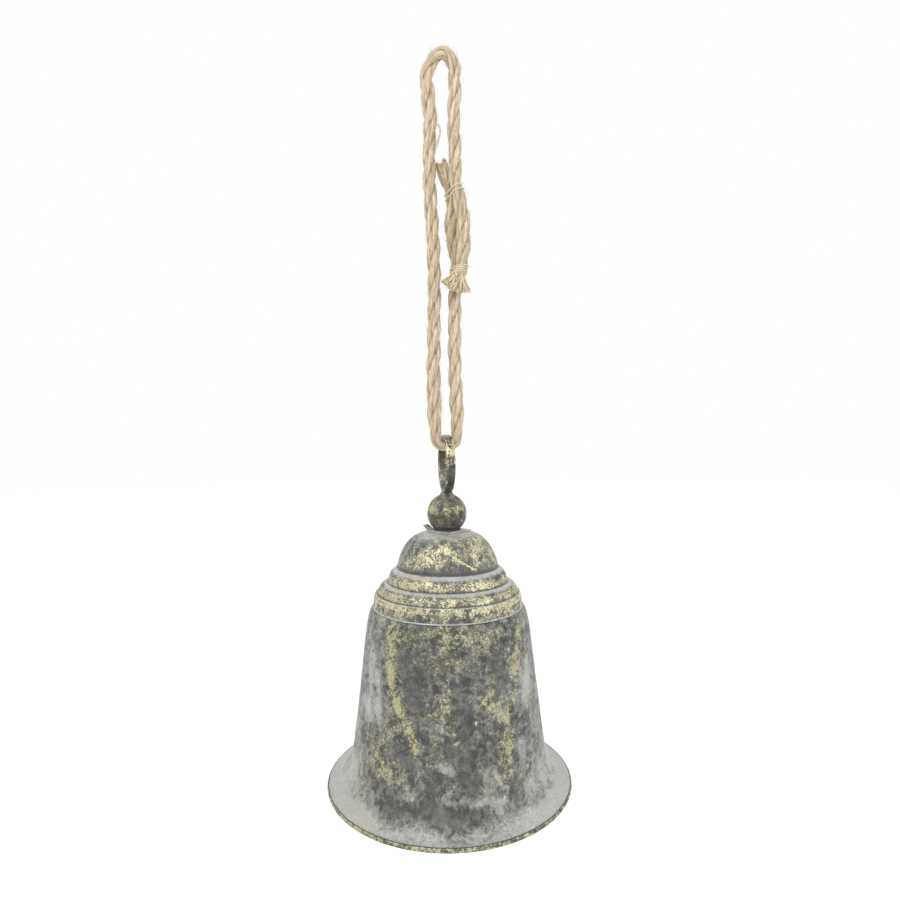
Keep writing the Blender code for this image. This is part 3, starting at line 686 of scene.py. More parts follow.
# yarns of two plies along paths of (x, y, z, share of the thickness) rows
def laidPiece(name, paths, radius, plyShare, lay, step, finish, wound=False):
    curve = bpy.data.curves.new("paths", "CURVE")
    curve.dimensions = "3D"
    for path in paths:
        spline = curve.splines.new("POLY")
        spline.points.add(len(path) - 1)
        for point, row in zip(spline.points, path):
            point.co = (*row[:3], 1.0)
            point.radius = row[3]
    piece = throughTree(name, newObject("paths", curve), laidYarn, {
        "Yarn Radius": radius, "Ply Share": plyShare, "Lay": lay,
        "Step": step, "Sides": 7, "Finish": finish,
    })
    addYarnUvs(piece.data, wound)
    return piece


# Whippings

# the rope's middle and thickness at a height, on one stretch of its route
def ropeAt(rows, height):
    stretch = smoothCurve(ropeRoute[rows], 8)
    order = np.argsort(stretch[:, 2])
    return np.array([np.interp(height, stretch[order, 2], stretch[order, k]) for k in range(4)])


downEnd = slice(0, 8)
upEnd = slice(-8, None)
upperWhipping = {"height": -0.1115, "turns": 2.0, "pitch": 0.004, "slant": 0.3, "tail": 0.0}
lowerWhipping = {"height": -0.1766, "turns": 4.0, "pitch": 0.0015, "slant": 0.0, "tail": 0.003}
twine = {"radius": 0.00048, "clearance": 0.0001, "lay": 0.0026}


def buildWhipping(name, wound):
    perTurn = 28
    middle = (ropeAt(downEnd, wound["height"])[0] + ropeAt(upEnd, wound["height"])[0]) / 2
    rows = []
    for step in range(int(wound["turns"] * perTurn) + 1):
        angle = tau * step / perTurn
        out = np.array([math.cos(angle), math.sin(angle), 0.0])
        level = wound["height"] + wound["pitch"] * (step / perTurn - wound["turns"] / 2)
        spots = []
        for stretch in (downEnd, upEnd):
            here = ropeAt(stretch, level)
            spots.append(here[:3] + out * (rope["radius"] * here[3] + twine["clearance"] + twine["radius"]))
        spot = max(spots, key=lambda place: place @ out)
        spot[2] += wound["slant"] * (spot[0] - middle) + 0.0003 * math.sin(step * 0.7)
        rows.append((*spot, 1.0))
    if wound["tail"]:
        last = np.array(rows[-1][:3])
        for share in (0.35, 0.7, 1.0):
            side = last + np.array([wound["tail"] * share, -0.0022 * share, -0.0026 * share ** 1.5])
            rows.append((*side, 1.0 - 0.2 * share))
    return laidPiece(name, [rows], twine["radius"], 0.58, twine["lay"], 0.0004, twineFinish, True)


upperTwine = buildWhipping("upperWhipping", upperWhipping)
lowerTwine = buildWhipping("lowerWhipping", lowerWhipping)
print("whippings wound")


# Frayed ends: yarns that leave the rope's section and spread to their own tips

def frayedPaths(values, seed, count, spread, fine):
    draw = np.random.default_rng(seed)
    tips = np.array(values["tips"], float)
    paths = []
    for index in range(count):
        t = (index + 0.5) / count + draw.uniform(-0.4, 0.4) / count
        at = t * (len(tips) - 1)
        low = min(int(at), len(tips) - 2)
        tip = tips[low] * (1 - at + low) + tips[low + 1] * (at - low)
        tip = tip + draw.normal(0.0, 1.0, 3) * np.array(spread)
        angle = draw.uniform(0, tau)
        reach = values["reach"] * math.sqrt(draw.uniform(0, 1))
        side = (t - 0.5) * 1.5 * values["reach"]
        aside = 0.6 * side + 0.4 * reach * math.cos(angle)
        root = np.array(values["start"]) + (aside, reach * math.sin(angle), 0.0)
        middle = root + (0.0, 0.0, (tip[2] - root[2]) * 0.45)
        rows = []
        for share in np.linspace(0.0, 1.0, 9):
            spot = (1 - share) ** 2 * root + 2 * share * (1 - share) * middle + share ** 2 * tip
            wave = 0.00025 * math.sin(share * 7 + index)
            thick = fine * (1.0 - 0.12 * share) * draw.uniform(0.9, 1.1)
            rows.append((spot[0] + wave, spot[1] + wave, spot[2], thick))
        paths.append(rows)
    return paths


lowerFray = {
    "start": (0.0128, -0.0052, -0.1745), "reach": 0.004,
    "tips": [(-0.003, -0.0062, -0.185), (0.0004, -0.0072, -0.1905), (0.004, -0.008, -0.1935),
             (0.009, -0.0088, -0.195), (0.014, -0.0088, -0.1953), (0.0182, -0.008, -0.195),
             (0.0208, -0.0068, -0.1942)],
    "yarns": 46, "spread": (0.0006, 0.0012, 0.0007), "yarnRadius": 0.00105,
    "fibres": 90, "fibreSpread": (0.0011, 0.0022, 0.0013), "fibreRadius": 0.00016,
}
upperFray = {
    "start": (0.0034, 0.0054, -0.104), "reach": 0.0046,
    "tips": [(-0.0066, 0.0064, -0.0862), (-0.005, 0.0068, -0.0858), (-0.003, 0.007, -0.0864),
             (-0.0012, 0.007, -0.085), (0.0002, 0.0068, -0.0806), (0.001, 0.0066, -0.083)],
    "yarns": 54, "spread": (0.0005, 0.0026, 0.0007), "yarnRadius": 0.00085,
    "fibres": 60, "fibreSpread": (0.0008, 0.0024, 0.0012), "fibreRadius": 0.00014,
}


def buildFray(name, values, seed):
    share = values["fibreRadius"] / values["yarnRadius"]
    paths = frayedPaths(values, seed, values["yarns"], values["spread"], 1.0)
    paths += frayedPaths(values, seed + 1, values["fibres"], values["fibreSpread"], share)
    return laidPiece(name, paths, values["yarnRadius"], 0.6, 0.012, 0.001, juteFinish)


lowerFrayed = buildFray("lowerFrayedEnd", lowerFray, 11)
upperFrayed = buildFray("upperFrayedEnd", upperFray, 21)

looseStrand = [
    (-0.0084, -0.0036, -0.06, 0.8), (-0.0064, -0.0046, -0.0574, 0.9), (-0.0044, -0.0046, -0.0562, 1.0),
    (-0.003, -0.0042, -0.0578, 1.0), (-0.0024, -0.004, -0.0612, 1.1), (-0.003, -0.004, -0.0655, 1.0),
    (-0.0044, -0.0043, -0.071, 0.9), (-0.0062, -0.0043, -0.077, 0.8),
]
loosePath = smoothCurve(looseStrand, 6).tolist()
looseYarn = laidPiece("looseYarn", [loosePath], 0.00095, 0.6, 0.009, 0.0008, juteFinish)
print("ends frayed")


# Stray fibres all over the rope

fibres = {"density": 34000.0, "length": 0.008, "radius": 0.00009, "seed": 4}


def buildStrayFibres():
    tree, given, out = newGroup("strayFibres", [
        ("Geometry", "Geometry", None),
        ("Density", "Float", 20000.0),
        ("Length", "Float", 0.005),
        ("Radius", "Float", 0.00006),
        ("Seed", "Int", 0),
        ("Finish", "Material", None),
    ], [("Geometry", "Geometry")], "GeometryNodeTree")
    spots = addNode(tree, "GeometryNodeDistributePointsOnFaces", {
        "Mesh": given["Geometry"], "Density": given["Density"], "Seed": given["Seed"],
    })
    # a bent fibre along X, one unit long
    arc = addNode(tree, "GeometryNodeCurveQuadraticBezier", {
        "Resolution": 4, "Start": (0.0, 0.0, -0.02), "Middle": (0.5, 0.0, 0.3), "End": (1.0, 0.12, 0.14),
    })
    # the fibre lies mostly along the rope: its heading is drawn near the vertical
    turn = addNode(tree, "FunctionNodeRandomValue", {
        2: -0.9, 3: 0.9, "Seed": given["Seed"],
    }, data_type="FLOAT")
    align = addNode(tree, "FunctionNodeAlignRotationToVector", {
        "Vector": spots.outputs["Normal"],
    }, axis="Z")
    pick = addNode(tree, "FunctionNodeAlignRotationToVector", {
        "Rotation": align.outputs[0], "Vector": (0.0, 0.0, 1.0),
    }, axis="X", pivot_axis="Z")
    euler = addNode(tree, "ShaderNodeCombineXYZ", {2: turn.outputs[1]}).outputs[0]
    heading = addNode(tree, "FunctionNodeEulerToRotation", {0: euler}).outputs[0]
    spin = addNode(tree, "FunctionNodeRotateRotation", {
        "Rotation": pick.outputs[0], "Rotate By": heading,
    }, rotation_space="LOCAL")
    size = addNode(tree, "FunctionNodeRandomValue", {
        2: 0.35, 3: 1.0, "Seed": plus(tree, given["Seed"], 1.0),
    }, data_type="FLOAT")
    placed = addNode(tree, "GeometryNodeInstanceOnPoints", {
        "Points": spots.outputs["Points"], "Instance": arc.outputs[0],
        "Rotation": spin.outputs[0], "Scale": times(tree, size.outputs[1], given["Length"]),
    })
    real = addNode(tree, "GeometryNodeRealizeInstances", {"Geometry": placed.outputs[0]})
    profile = addNode(tree, "GeometryNodeCurvePrimitiveCircle", {
        "Resolution": 3, "Radius": given["Radius"],
    })
    tube = addNode(tree, "GeometryNodeCurveToMesh", {
        "Curve": real.outputs[0], "Profile Curve": profile.outputs["Curve"], "Fill Caps": True,
    })
    return endTree(tree, out, tube.outputs[0], given["Finish"])


def buildFibres():
    source = newObject("fibreGround", ropeLoop.data.copy())
    ground = bmesh.new()
    ground.from_mesh(source.data)
    # the ring sweeps the lowest stretch, so no fibres stand there
    low = [face for face in ground.faces if face.calc_center_median().z < ringBox[1][2] + 0.01]
    bmesh.ops.delete(ground, geom=low, context="FACES")
    ground.to_mesh(source.data)
    ground.free()
    piece = throughTree("strayFibres", source, buildStrayFibres(), {
        "Density": fibres["density"], "Length": fibres["length"], "Radius": fibres["radius"],
        "Seed": fibres["seed"], "Finish": juteFinish,
    })
    addYarnUvs(piece.data, False)
    return piece


ropeFibres = buildFibres()
print("fibres", len(ropeFibres.data.polygons))


# Turned metal

# rows of (radius, height, share of the dent) turned about Z, closed on themselves or on the axis
def turnedPiece(name, outline, height, finish, segments, closed=True, dent=0.0, layers=None,
                seed=5, standing=None):
    outline = np.array(outline, float)
    turns = np.arange(segments) / segments * tau
    spots = [outline[:, :1] * np.cos(turns), outline[:, :1] * np.sin(turns),
             np.repeat(outline[:, 1:2], segments, axis=1)]
    flat = np.stack(spots, axis=-1).reshape(-1, 3)
    if dent:
        push = wander(flat, 0.022, seed) + 0.35 * wander(flat, 0.007, seed + 1)
        ease = np.repeat(outline[:, 2], segments) if outline.shape[1] > 2 else 1.0
        reach = np.maximum(np.hypot(flat[:, 0], flat[:, 1]), 1e-6)
        flat[:, :2] += flat[:, :2] * (push * dent * ease / reach)[:, None]
    rows = np.repeat(np.arange(len(outline)), segments)
    values = layers(flat, rows) if layers else {}
    if standing is not None:
        flat = flat @ np.array(standing.to_3x3()).T
    faces = gridFaces(len(outline), segments, closed)
    piece = meshPiece(name, flat + (0.0, 0.0, height), faces, finish, None, values)
    bm = bmesh.new()
    bm.from_mesh(piece.data)
    bmesh.ops.remove_doubles(bm, verts=bm.verts, dist=1e-6)
    bmesh.ops.recalc_face_normals(bm, faces=bm.faces)
    bm.to_mesh(piece.data)
    bm.free()
    return piece


def arcRows(center, radius, start, end, steps):
    angles = np.linspace(start, end, steps + 1)
    return np.stack([center[0] + radius * np.cos(angles), center[1] + radius * np.sin(angles)], axis=1)


# the parallel of an outline, a thickness to its inner side, in reverse order
def offsetRows(outer, thickness):
    tangents = np.gradient(outer, axis=0)
    tangents /= np.linalg.norm(tangents, axis=1)[:, None]
    return (outer + np.stack([tangents[:, 1], -tangents[:, 0]], axis=1) * thickness)[::-1]


bell = {
    "sheet": 0.0009, "rimRadius": 0.1, "curlRadius": 0.0022, "curlEnd": math.radians(-199),
    "seamRadius": 0.0626, "seamHeight": 0.1417, "waistRadius": 0.0792,
    "flareCenter": (0.10702, 0.02867), "flareRadius": 0.02804,
    "flareLean": math.radians(7.1), "flareEnd": math.radians(68.4), "waistHeight": 0.0252,
    "crownTop": 0.2023, "dent": 0.00028, "creaseDepth": 0.00028,
    # how far out and down the wall runs between the seam and the waist
    "wallShares": [(0.0, 0.0), (0.12, 0.033), (0.241, 0.105), (0.398, 0.275),
                   (0.602, 0.532), (0.777, 0.747), (1.0, 1.0)],
}
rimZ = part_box("crown_shell")[1][2] - bell["crownTop"]
# the dome and three steps, as (radius, height above the seam); each ends in a corner
crownParts = [
    [(0.0043, 0.0606), (0.014, 0.0606), (0.0207, 0.0596), (0.0286, 0.0559), (0.0346, 0.0499),
     (0.0381, 0.0439), (0.0406, 0.0379), (0.0421, 0.0315)],
    [(0.0421, 0.0315), (0.0452, 0.0295), (0.0476, 0.0269), (0.0489, 0.0239), (0.0499, 0.0202)],
    [(0.0499, 0.0202), (0.0514, 0.0194), (0.0546, 0.0177), (0.0566, 0.0156), (0.0586, 0.0118)],
    [(0.0586, 0.0118), (0.0599, 0.0109), (0.0609, 0.0085), (0.0612, 0.0043), (0.0614, 0.0), (0.0614, -0.008)],
]


# the outline's rows, and for each its step (0 on the dome) and how far down that step it lies
def crownOutline():
    rows, steps, shares = [], [], []
    for step, part in enumerate(crownParts):
        line = evenly(smoothCurve(part, 16), 0.00075)[0]
        first = 1 if rows else 0
        rows.append(line[first:])
        shares.append(np.linspace(0.0, 1.0, len(line))[first:])
        steps.append(np.full(len(line) - first, step))
    rows = np.vstack(rows)
    rows[1:-1] = rows[1:-1] * 0.5 + (rows[:-2] + rows[2:]) * 0.25
    rows[:, 1] += bell["seamHeight"]
    return rows, np.concatenate(steps), np.concatenate(shares)


def bodyOutline():
    span, drop = bell["waistRadius"] - bell["seamRadius"], bell["waistHeight"] - bell["seamHeight"]
    wall = [(bell["seamRadius"] + span * a, bell["seamHeight"] + drop * b) for a, b in bell["wallShares"]]
    wall = evenly(smoothCurve(wall, 16), 0.0016)[0]
    lean, flareEnd, steps = math.pi + bell["flareLean"], math.pi + bell["flareEnd"], 26
    flare = arcRows(bell["flareCenter"], bell["flareRadius"], lean, flareEnd, steps)
    center = (bell["rimRadius"] - bell["curlRadius"], 0.0)
    curl = arcRows(center, bell["curlRadius"], bell["flareEnd"], bell["curlEnd"], 40)
    rows = np.vstack([wall[:-1], flare[:-1], curl])
    crease = len(wall) - 1 + steps
    for step, depth in enumerate((0.3, 0.8, 1.0, 0.6, 0.2), -1):
        rows[crease + step] += np.array([-0.5, -0.86]) * bell["creaseDepth"] * depth
    return rows, crease


# the sheet's outer and inner rows, with how much each may be dented
def closedShell(rows, ease):
    both = np.vstack([rows, offsetRows(rows, bell["sheet"])])
    return np.hstack([both, np.concatenate([ease, ease[::-1]])[:, None]])


# listed trails of rubbed brass, bloom and dark: each is a line of (degrees from the front,
# height above the rim), its half width and how strongly it shows
bodyTrails = [
    ([(-42, 0.137), (-41, 0.124)], 0.0068, 0.35), ([(-38, 0.116), (-35, 0.104)], 0.0057, 0.41),
    ([(-39, 0.108), (-35, 0.092), (-30, 0.08)], 0.004, 0.39),
    ([(-34, 0.084), (-30, 0.072), (-28, 0.064)], 0.0074, 0.3),
    ([(-24, 0.07), (-20, 0.063), (-18, 0.054)], 0.0033, 0.52), ([(-28, 0.103), (-27, 0.09)], 0.004, 0.25),
    ([(-56, 0.062), (-57, 0.05)], 0.0046, 0.29), ([(-44, 0.06), (-44, 0.046), (-38, 0.038)], 0.0101, 0.29),
    ([(-40, 0.03), (-33, 0.022)], 0.0108, 0.19), ([(-30, 0.034), (-24, 0.03)], 0.0095, 0.16),
    ([(-34, 0.134), (-26, 0.129)], 0.0061, 0.27), ([(-6, 0.137), (2, 0.13)], 0.0108, 0.25),
    ([(-2, 0.118), (0, 0.1)], 0.0068, 0.14),
    ([(0, 0.092), (-3, 0.082), (0, 0.07), (4, 0.062)], 0.004, 0.29),
    ([(-16, 0.078), (-12, 0.08)], 0.0036, 0.29), ([(-12, 0.058), (-8, 0.06)], 0.0034, 0.23),
    ([(18, 0.133), (30, 0.128)], 0.0095, 0.23), ([(26, 0.116), (30, 0.108)], 0.0068, 0.19),
    ([(56, 0.136), (50, 0.12), (46, 0.104), (45, 0.09), (38, 0.074)], 0.0049, 0.43),
    ([(20, 0.086), (28, 0.078), (36, 0.07)], 0.0038, 0.35), ([(27, 0.098), (26, 0.086)], 0.0034, 0.25),
    ([(32, 0.056), (38, 0.06), (34, 0.046)], 0.0061, 0.31),
    ([(27, 0.042), (33, 0.038), (30, 0.03)], 0.0081, 0.27),
    ([(14, 0.066), (20, 0.07)], 0.0046, 0.19), ([(60, 0.11), (62, 0.08)], 0.0081, 0.16),
]
bodyClouds = [
    ([(-58, 0.11), (-56, 0.07)], 0.008, 0.34), ([(-50, 0.1), (-46, 0.092)], 0.004, 0.42),
    ([(-48, 0.08), (-44, 0.066)], 0.004, 0.32), ([(60, 0.104), (56, 0.08)], 0.007, 0.4),
    ([(30, 0.08), (34, 0.074)], 0.005, 0.42), ([(46, 0.05), (44, 0.036)], 0.0045, 0.36),
    ([(26, 0.038), (28, 0.028), (34, 0.024)], 0.0018, 0.46), ([(6, 0.06), (9, 0.054)], 0.0024, 0.44),
    ([(-4, 0.045), (2, 0.04)], 0.003, 0.46), ([(-2, 0.078), (-3, 0.068)], 0.0016, 0.4),
    ([(-14, 0.092), (-12, 0.086)], 0.0012, 0.42), ([(6, 0.112), (6, 0.104)], 0.0018, 0.44),
    ([(8, 0.02), (20, 0.02), (28, 0.017)], 0.003, 0.34), ([(-4, 0.026), (6, 0.03)], 0.007, 0.22),
    ([(20, 0.046), (22, 0.03)], 0.006, 0.2), ([(14, 0.128), (22, 0.124)], 0.006, 0.22),
]
bodyShades = [
    ([(-26, 0.124), (-30, 0.114), (-24, 0.096)], 0.005, 0.2), ([(-20, 0.09), (-18, 0.076)], 0.006, 0.2),
    ([(30, 0.118), (34, 0.096)], 0.0055, 0.26), ([(8, 0.054), (12, 0.034)], 0.009, 0.18),
    ([(-30, 0.052), (-24, 0.044)], 0.005, 0.2), ([(-44, 0.026), (-30, 0.012)], 0.008, 0.16),
    ([(8, 0.092), (12, 0.076)], 0.006, 0.14), ([(36, 0.024), (40, 0.016)], 0.005, 0.2),
]
crownTrails = [
    ([(-32, 0.186), (-14, 0.1845)], 0.0055, 0.24), ([(-34, 0.179), (-22, 0.1785)], 0.004, 0.16),
    ([(0, 0.1915), (12, 0.188)], 0.003, 0.34), ([(-4, 0.183), (6, 0.1815)], 0.003, 0.2),
    ([(9, 0.1872), (20, 0.1825), (34, 0.1762)], 0.001, 0.7), ([(28, 0.1885), (36, 0.1875)], 0.0026, 0.34),
    ([(42, 0.182), (48, 0.179)], 0.004, 0.18), ([(62, 0.19), (72, 0.178)], 0.009, 0.2),
    ([(-50, 0.182), (-48, 0.176)], 0.005, 0.2), ([(18, 0.196), (50, 0.193)], 0.005, 0.18),
]


# how strongly each point lies on the trails, for a piece about Z with its rim at height 0
def trailSum(points, trails):
    angle = np.arctan2(points[:, 0], -points[:, 1])
    reach = np.hypot(points[:, 0], points[:, 1])
    aside = 0.003 * wander(points, 0.014, 51)
    total = np.zeros(len(points))
    for line, width, strength in trails:
        nearest = np.full(len(points), 1.0)
        for (turnA, lowA), (turnB, lowB) in zip(line, line[1:]):
            across = ((angle - math.radians(turnA) + math.pi) % tau - math.pi) * reach + aside
            span = math.radians(turnB - turnA) * reach
            rise = lowB - lowA
            above = points[:, 2] - lowA
            share = np.clip((across * span + above * rise) / (span ** 2 + rise ** 2), 0.0, 1.0)
            nearest = np.minimum(nearest, np.hypot(across - share * span, above - share * rise))
        total += strength * np.exp(-(nearest / width) ** 2)
    return total


# 1 on the side of the listed trails, 0 on the far side
def frontOnly(points):
    return np.clip(0.5 - points[:, 1] / 0.05, 0.0, 1.0)


def buildBody():
    rows, crease = bodyOutline()
    height = rows[:, 1]
    ease = np.clip((bell["seamHeight"] - height) / 0.02, 0, 1) * np.clip((height - 0.004) / 0.02, 0, 1)
    shell = closedShell(rows, ease)
    outerCount = len(rows)

    # rubbed brass, bloom with painted light and sheen, and dirt with painted shade at each point; the bead is
    # the curled rim
    def layers(points, row):
        outer = row < outerCount
        bead = outer & (row > crease + 2)
        height, behind = points[:, 2], 1 - frontOnly(points)
        sideways = np.abs(points[:, 0]) / np.maximum(np.hypot(points[:, 0], points[:, 1]), 1e-6)
        shades = trailSum(points, bodyShades)
        wear = 0.05 + trailSum(points, bodyTrails) - shades + 0.08 * bump01(height, 0.133, 0.012)
        wear += behind * (0.14 + 0.35 * wander(points, 0.035, 31)) - 0.35 * bump01(height, 0.012, 0.009)
        wear = np.where(bead, 0.52 + 0.2 * wander(points, 0.011, 37), wear)
        bloomAndPaintedLight = 0.2 + trailSum(points, bodyClouds) - shades + 0.3 * wander(points, 0.02, 36)
        # painted light on the upward-facing flare near the rim, stronger towards the left and right edges
        bloomAndPaintedLight += (0.36 + 0.44 * sideways) * bump01(height, 0.003, 0.0052)
        # painted sheen towards the left and right edges as seen from the front
        bloomAndPaintedLight += 0.36 * sideways * bump01(height, 0.02, 0.016) + 0.34 * np.clip(sideways - 0.35, 0, 1)
        bloomAndPaintedLight += behind * 0.3 * wander(points, 0.03, 32)
        # painted shade: a darker band across the front of the flare
        bloomAndPaintedLight -= 0.22 * (1 - sideways) * bump01(height, 0.0135, 0.006)
        # painted shade in the crease above the bead; the inside is darker all over
        grimeAndShade = np.where(outer, 0.95 * bump01(row, crease + 1.2, 1.3), 0.35)
        # dirt on the bead, and painted shade under the curl
        grimeAndShade += bead * (0.2 + 0.25 * wander(points, 0.013, 38)) + 0.4 * (outer & (row > crease + 14))
        return {
            "wear": np.where(outer, wear, -0.1),
            "bloomAndPaintedLight": np.where(outer & (row <= crease), bloomAndPaintedLight, np.where(outer, 0.0, 0.12)),
            "grimeAndShade": grimeAndShade,
        }

    return turnedPiece("bodyShell", shell, rimZ, shellFinish, 288, True, bell["dent"], layers, 5)


def buildCrown():
    rows, steps, shares = crownOutline()
    height = rows[:, 1]
    ease = np.clip((height - bell["seamHeight"] - 0.012) / 0.01, 0, 1)
    shell = closedShell(rows, ease * np.clip((0.2 - height) / 0.006, 0, 1))
    outerCount = len(rows)
    step = np.concatenate([steps, steps[::-1]])
    share = np.concatenate([shares, shares[::-1]])

    # painted light from above lies on the ledges as haze, brass shows on the risers, dirt and painted shade
    # sit in the corners
    def layers(points, row):
        outer, at, down = row < outerCount, step[row], share[row]
        sideways = np.abs(points[:, 0])
        riser = np.clip((down - 0.38) * 6.0, 0, 1) * np.clip((0.96 - down) * 12.0, 0, 1)
        skirt = np.where(down < 0.28, 0.46, 0.24) + 0.2 * sideways / 0.06 - 0.25 * (down < 0.06)
        dome = 0.19 + trailSum(points, crownTrails) - 0.5 * np.clip((down - 0.86) * 7.0, 0, 1)
        wear = np.where(at == 3, skirt, 0.14 + 0.38 * riser)
        wear = np.where(at == 0, dome, wear) + 0.16 * wander(points, 0.016, 33)
        # painted light from above on the top of each ledge
        ledgeLight = np.where(at == 3, 0.8 * bump01(down, 0.0, 0.07), 0.78 * bump01(down, 0.16, 0.2))
        # painted sheen on the dome's left and right edges
        bloomAndPaintedLight = 0.14 + np.where(at == 0, 0.5 * np.clip(sideways / 0.04 - 0.5, 0, 1), ledgeLight)
        # painted reflection on the top of the dome
        bloomAndPaintedLight += 0.7 * bump01(points[:, 2], 0.2025, 0.004) + 0.35 * np.clip(wander(points, 0.03, 34), 0, 1)
        # painted shade in the corner at the foot of each step
        grimeAndShade = 0.03 + 0.62 * np.clip((down - 0.9) * 14.0, 0, 1) * (at < 3)
        grimeAndShade += 0.12 * np.clip(wander(points, 0.02, 35), 0, 1)
        return {
            "wear": np.where(outer, wear, -0.1), "bloomAndPaintedLight": np.where(outer, bloomAndPaintedLight, 0.1),
            "grimeAndShade": np.where(outer, grimeAndShade, 0.35),
        }

    return turnedPiece("crownShell", shell, rimZ, crownFinish, 256, True, bell["dent"], layers, 8)


bodyShell = buildBody()
crownShell = buildCrown()
print("shells turned", len(bodyShell.data.polygons), len(crownShell.data.polygons))


solder = {"inside": 0.0613, "width": 0.0009, "height": 0.001, "lift": -0.0001}


def buildSolder():
    inside, wide, tall = solder["inside"], solder["width"], solder["height"]
    base = bell["seamHeight"] + solder["lift"]
    section = [
        (inside, base), (inside + wide * 0.9, base), (inside + wide * 1.1, base + 0.0003),
        (inside + wide * 0.9, base + tall * 0.4), (inside + wide * 0.55, base + tall * 0.72),
        (inside, base + tall), (inside, base),
    ]
    line = smoothCurve(section, 4)[:-1]
    return turnedPiece("seamSolder", line, rimZ, solderFinish, 288, True, 0.00016, None, 12)


seamSolder = buildSolder()
wireRows = arcRows((bell["rimRadius"] - bell["curlRadius"], 0.0), 0.00095, 0.0, tau * 15 / 16, 15)
rimWire = turnedPiece("rimWire", wireRows, rimZ, ironFinish, 192)


# Ring and ball

ring = {"outer": 0.02435, "width": 0.0074, "thick": 0.0045, "corner": 0.0021, "turn": math.radians(9.8)}
ringZ = ringBox[1][2] - ring["outer"]


def buildRing():
    middle = ring["outer"] - ring["thick"] / 2
    halfThick, halfWidth = ring["thick"] / 2 - ring["corner"], ring["width"] / 2 - ring["corner"]
    section = []
    for quarter, (thickSide, widthSide) in enumerate(((1, 1), (-1, 1), (-1, -1), (1, -1))):
        center = (middle + thickSide * halfThick, widthSide * halfWidth)
        start = quarter * math.pi / 2
        section.append(arcRows(center, ring["corner"], start, start + math.pi / 2, 7))
    section = np.vstack(section)
    stand = Matrix.Rotation(ring["turn"], 4, "Z") @ Matrix.Rotation(math.pi / 2, 4, "Y")

    # before it stands up, the ring's axis is Z and its top is at -X
    def layers(points, _):
        side = np.arctan2(points[:, 1], -points[:, 0])      # 0 at the top, falling towards the front
        wear = 0.02 + 0.5 * bump01(side, -0.95, 0.42) + 0.12 * wander(points, 0.008, 41)
        return {
            "wear": wear + 0.25 * (np.abs(points[:, 2]) > 0.0022),
            "bloomAndPaintedLight": 0.05 + 0.75 * bump01(side, 0.0, 0.5) + 0.45 * bump01(side, 2.2, 0.4),
            "grimeAndShade": 0.15 + 0.5 * bump01(side, 1.2, 0.5) + 0.35 * bump01(side, -1.9, 0.35),
        }

    return turnedPiece("hangingRing", section, ringZ, ringFinish, 160, True, 0.0001, layers, 14, stand)


ball = {"radius": 0.0164, "foot": 0.011, "join": 0.007, "neckRise": 0.002, "collar": 0.0011, "gap": 0.0003}
ballZ = ringBox[1][2] - 2 * ring["outer"] - ball["gap"] - ball["radius"]


def buildBall():
    radius, foot, join = ball["radius"], ball["foot"], ball["join"]
    top = radius + ball["neckRise"]
    low = -math.sqrt(radius ** 2 - foot ** 2)
    under = low - ball["collar"]
    neck = smoothCurve([
        (0.0, top + 0.0002), (0.0026, top + 0.0001), (0.0042, top - 0.0005), (0.005, top - 0.0015),
        (0.0058, top - 0.0027), (join, math.sqrt(radius ** 2 - join ** 2)),
    ], 6)
    sphere = arcRows((0.0, 0.0), radius, math.acos(join / radius), -math.acos(foot / radius), 48)
    collar = [(foot - 0.0002, low - 0.0002), (foot, low - 0.0005), (foot, under + 0.0002),
              (foot - 0.0003, under), (0.0, under)]
    outline = np.vstack([neck[:-1], sphere, collar])

    def layers(points, _):
        height = points[:, 2]
        dust = np.clip(wander(points, 0.006, 44), 0, 1)
        return {
            # rubbed brass, with a painted highlight in a band on the upper middle
            "wear": 0.15 + 0.26 * wander(points, 0.007, 43) + 0.3 * bump01(height, 0.0045, 0.006),
            # painted light on the top of the ball
            "bloomAndPaintedLight": 0.06 + 0.3 * bump01(height, 0.0145, 0.003) + 0.15 * dust,
            # painted shade: darker towards the bottom and in the crevice at the collar
            "grimeAndShade": 0.1 + 0.8 * bump01(height, low, 0.0012) + 0.4 * np.clip(-height / radius, 0, 1),
        }

    return turnedPiece("finialBall", outline, ballZ, ballFinish, 128, False, 0.00012, layers, 17)


hangingRing = buildRing()
finialBall = buildBall()
print("ring and ball done")


# Clapper

link = {"wire": 0.00175, "halfWidth": 0.0055, "sides": 20}


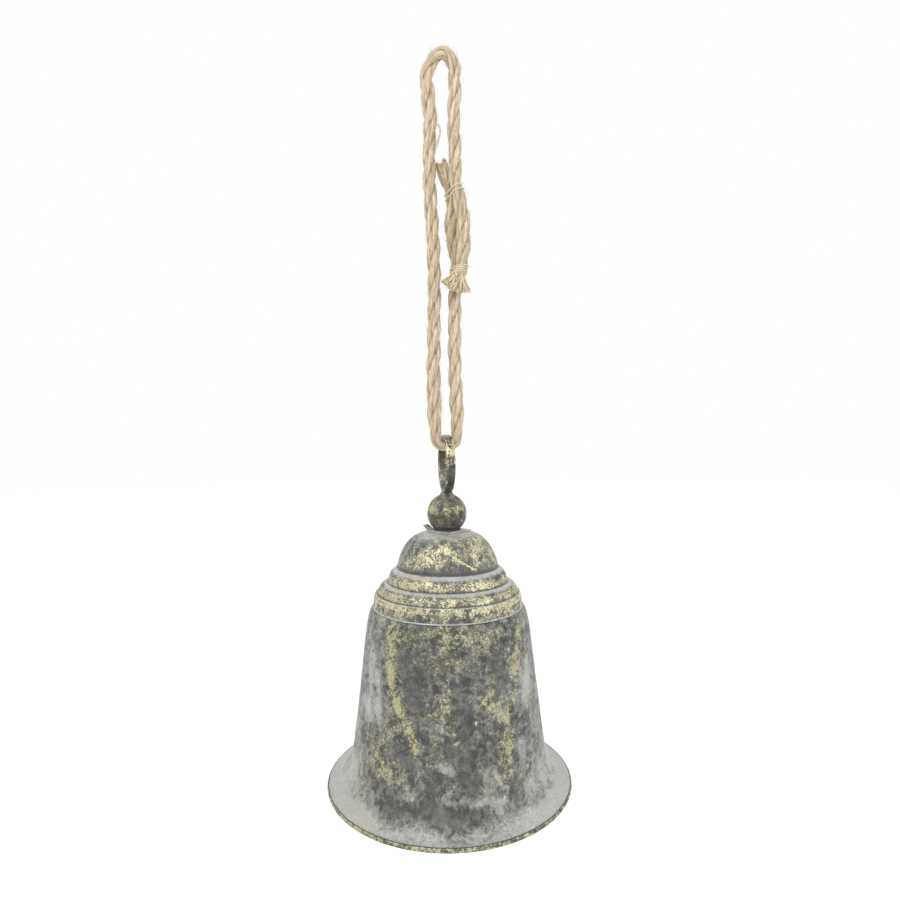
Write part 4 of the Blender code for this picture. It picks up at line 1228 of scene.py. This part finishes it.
def buildLink():
    low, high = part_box("clapper_link")
    wire, half, sides = link["wire"], link["halfWidth"], link["sides"]
    top, bottom = high[2] - wire - half, low[2] + wire + half
    side = np.linspace(top, bottom, 14)[1:-1]
    rows = np.vstack([
        arcRows((0.0, top), half, 0.0, math.pi, 32), np.stack([np.full(12, -half), side], 1),
        arcRows((0.0, bottom), half, math.pi, tau, 32), np.stack([np.full(12, half), side[::-1]], 1),
    ])
    path = np.insert(rows, 1, 0.0, axis=1)
    normals, across = framesAlong(path, True)[1:]
    angles = (np.arange(sides) / sides * tau)[None, :, None]
    points = path[:, None] + (np.cos(angles) * normals[:, None] + np.sin(angles) * across[:, None]) * wire
    return meshPiece("clapperLink", points.reshape(-1, 3), gridFaces(len(path), sides, True), ironFinish)


clapper = {"ballRadius": 0.015, "bore": 0.0033, "flat": 0.0055}


def buildClapperBall():
    low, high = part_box("clapper_ball")
    radius, bore = clapper["ballRadius"], clapper["bore"]
    reach = math.sqrt(radius ** 2 - clapper["flat"] ** 2)
    flat = math.asin(reach / radius)
    rows = np.vstack([[(bore, reach)], arcRows((0, 0), radius, flat, -flat, 44), [(bore, -reach)]])
    return turnedPiece("clapperBall", rows, (low[2] + high[2]) / 2, ironFinish, 96, True, 0.00012, None, 19)


clapperLink = buildLink()
clapperBall = buildClapperBall()
for label, finish in (
    ("clapper_rod", ironFinish), ("clapper_nut", zincFinish), ("eye_stud", ironFinish),
    ("inner_washer", zincFinish), ("clamp_nut", zincFinish), ("corner_washer", zincFinish),
):
    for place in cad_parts[label].material_slots:
        place.material = finish
print("clapper done")


# The body that each piece rides on, its slot, and the node that it stands for
for piece, body, slotName, node in (
    (ropeLoop, "rope", "jute", "rope_loop"),
    (upperTwine, "rope", "twine", "upper_whipping"),
    (lowerTwine, "rope", "twine", "lower_whipping"),
    (upperFrayed, "rope", "jute", "upper_frayed_end"),
    (lowerFrayed, "rope", "jute", "lower_frayed_end"),
    (looseYarn, "rope", "jute", None),
    (ropeFibres, "rope", "jute", None),
    (bodyShell, "bell", "aged_brass", "body_shell"),
    (crownShell, "bell", "aged_brass", "crown_shell"),
    (seamSolder, "bell", "solder", "seam_solder"),
    (rimWire, "bell", "iron", "rim_wire"),
    (hangingRing, "bell", "aged_brass", "hanging_ring"),
    (finialBall, "bell", "aged_brass", "finial_ball"),
    (clapperLink, "link", "iron", "clapper_link"),
    (clapperBall, "clapper", "iron", "clapper_ball"),
):
    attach(piece, body)
    if node:
        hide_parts(node)
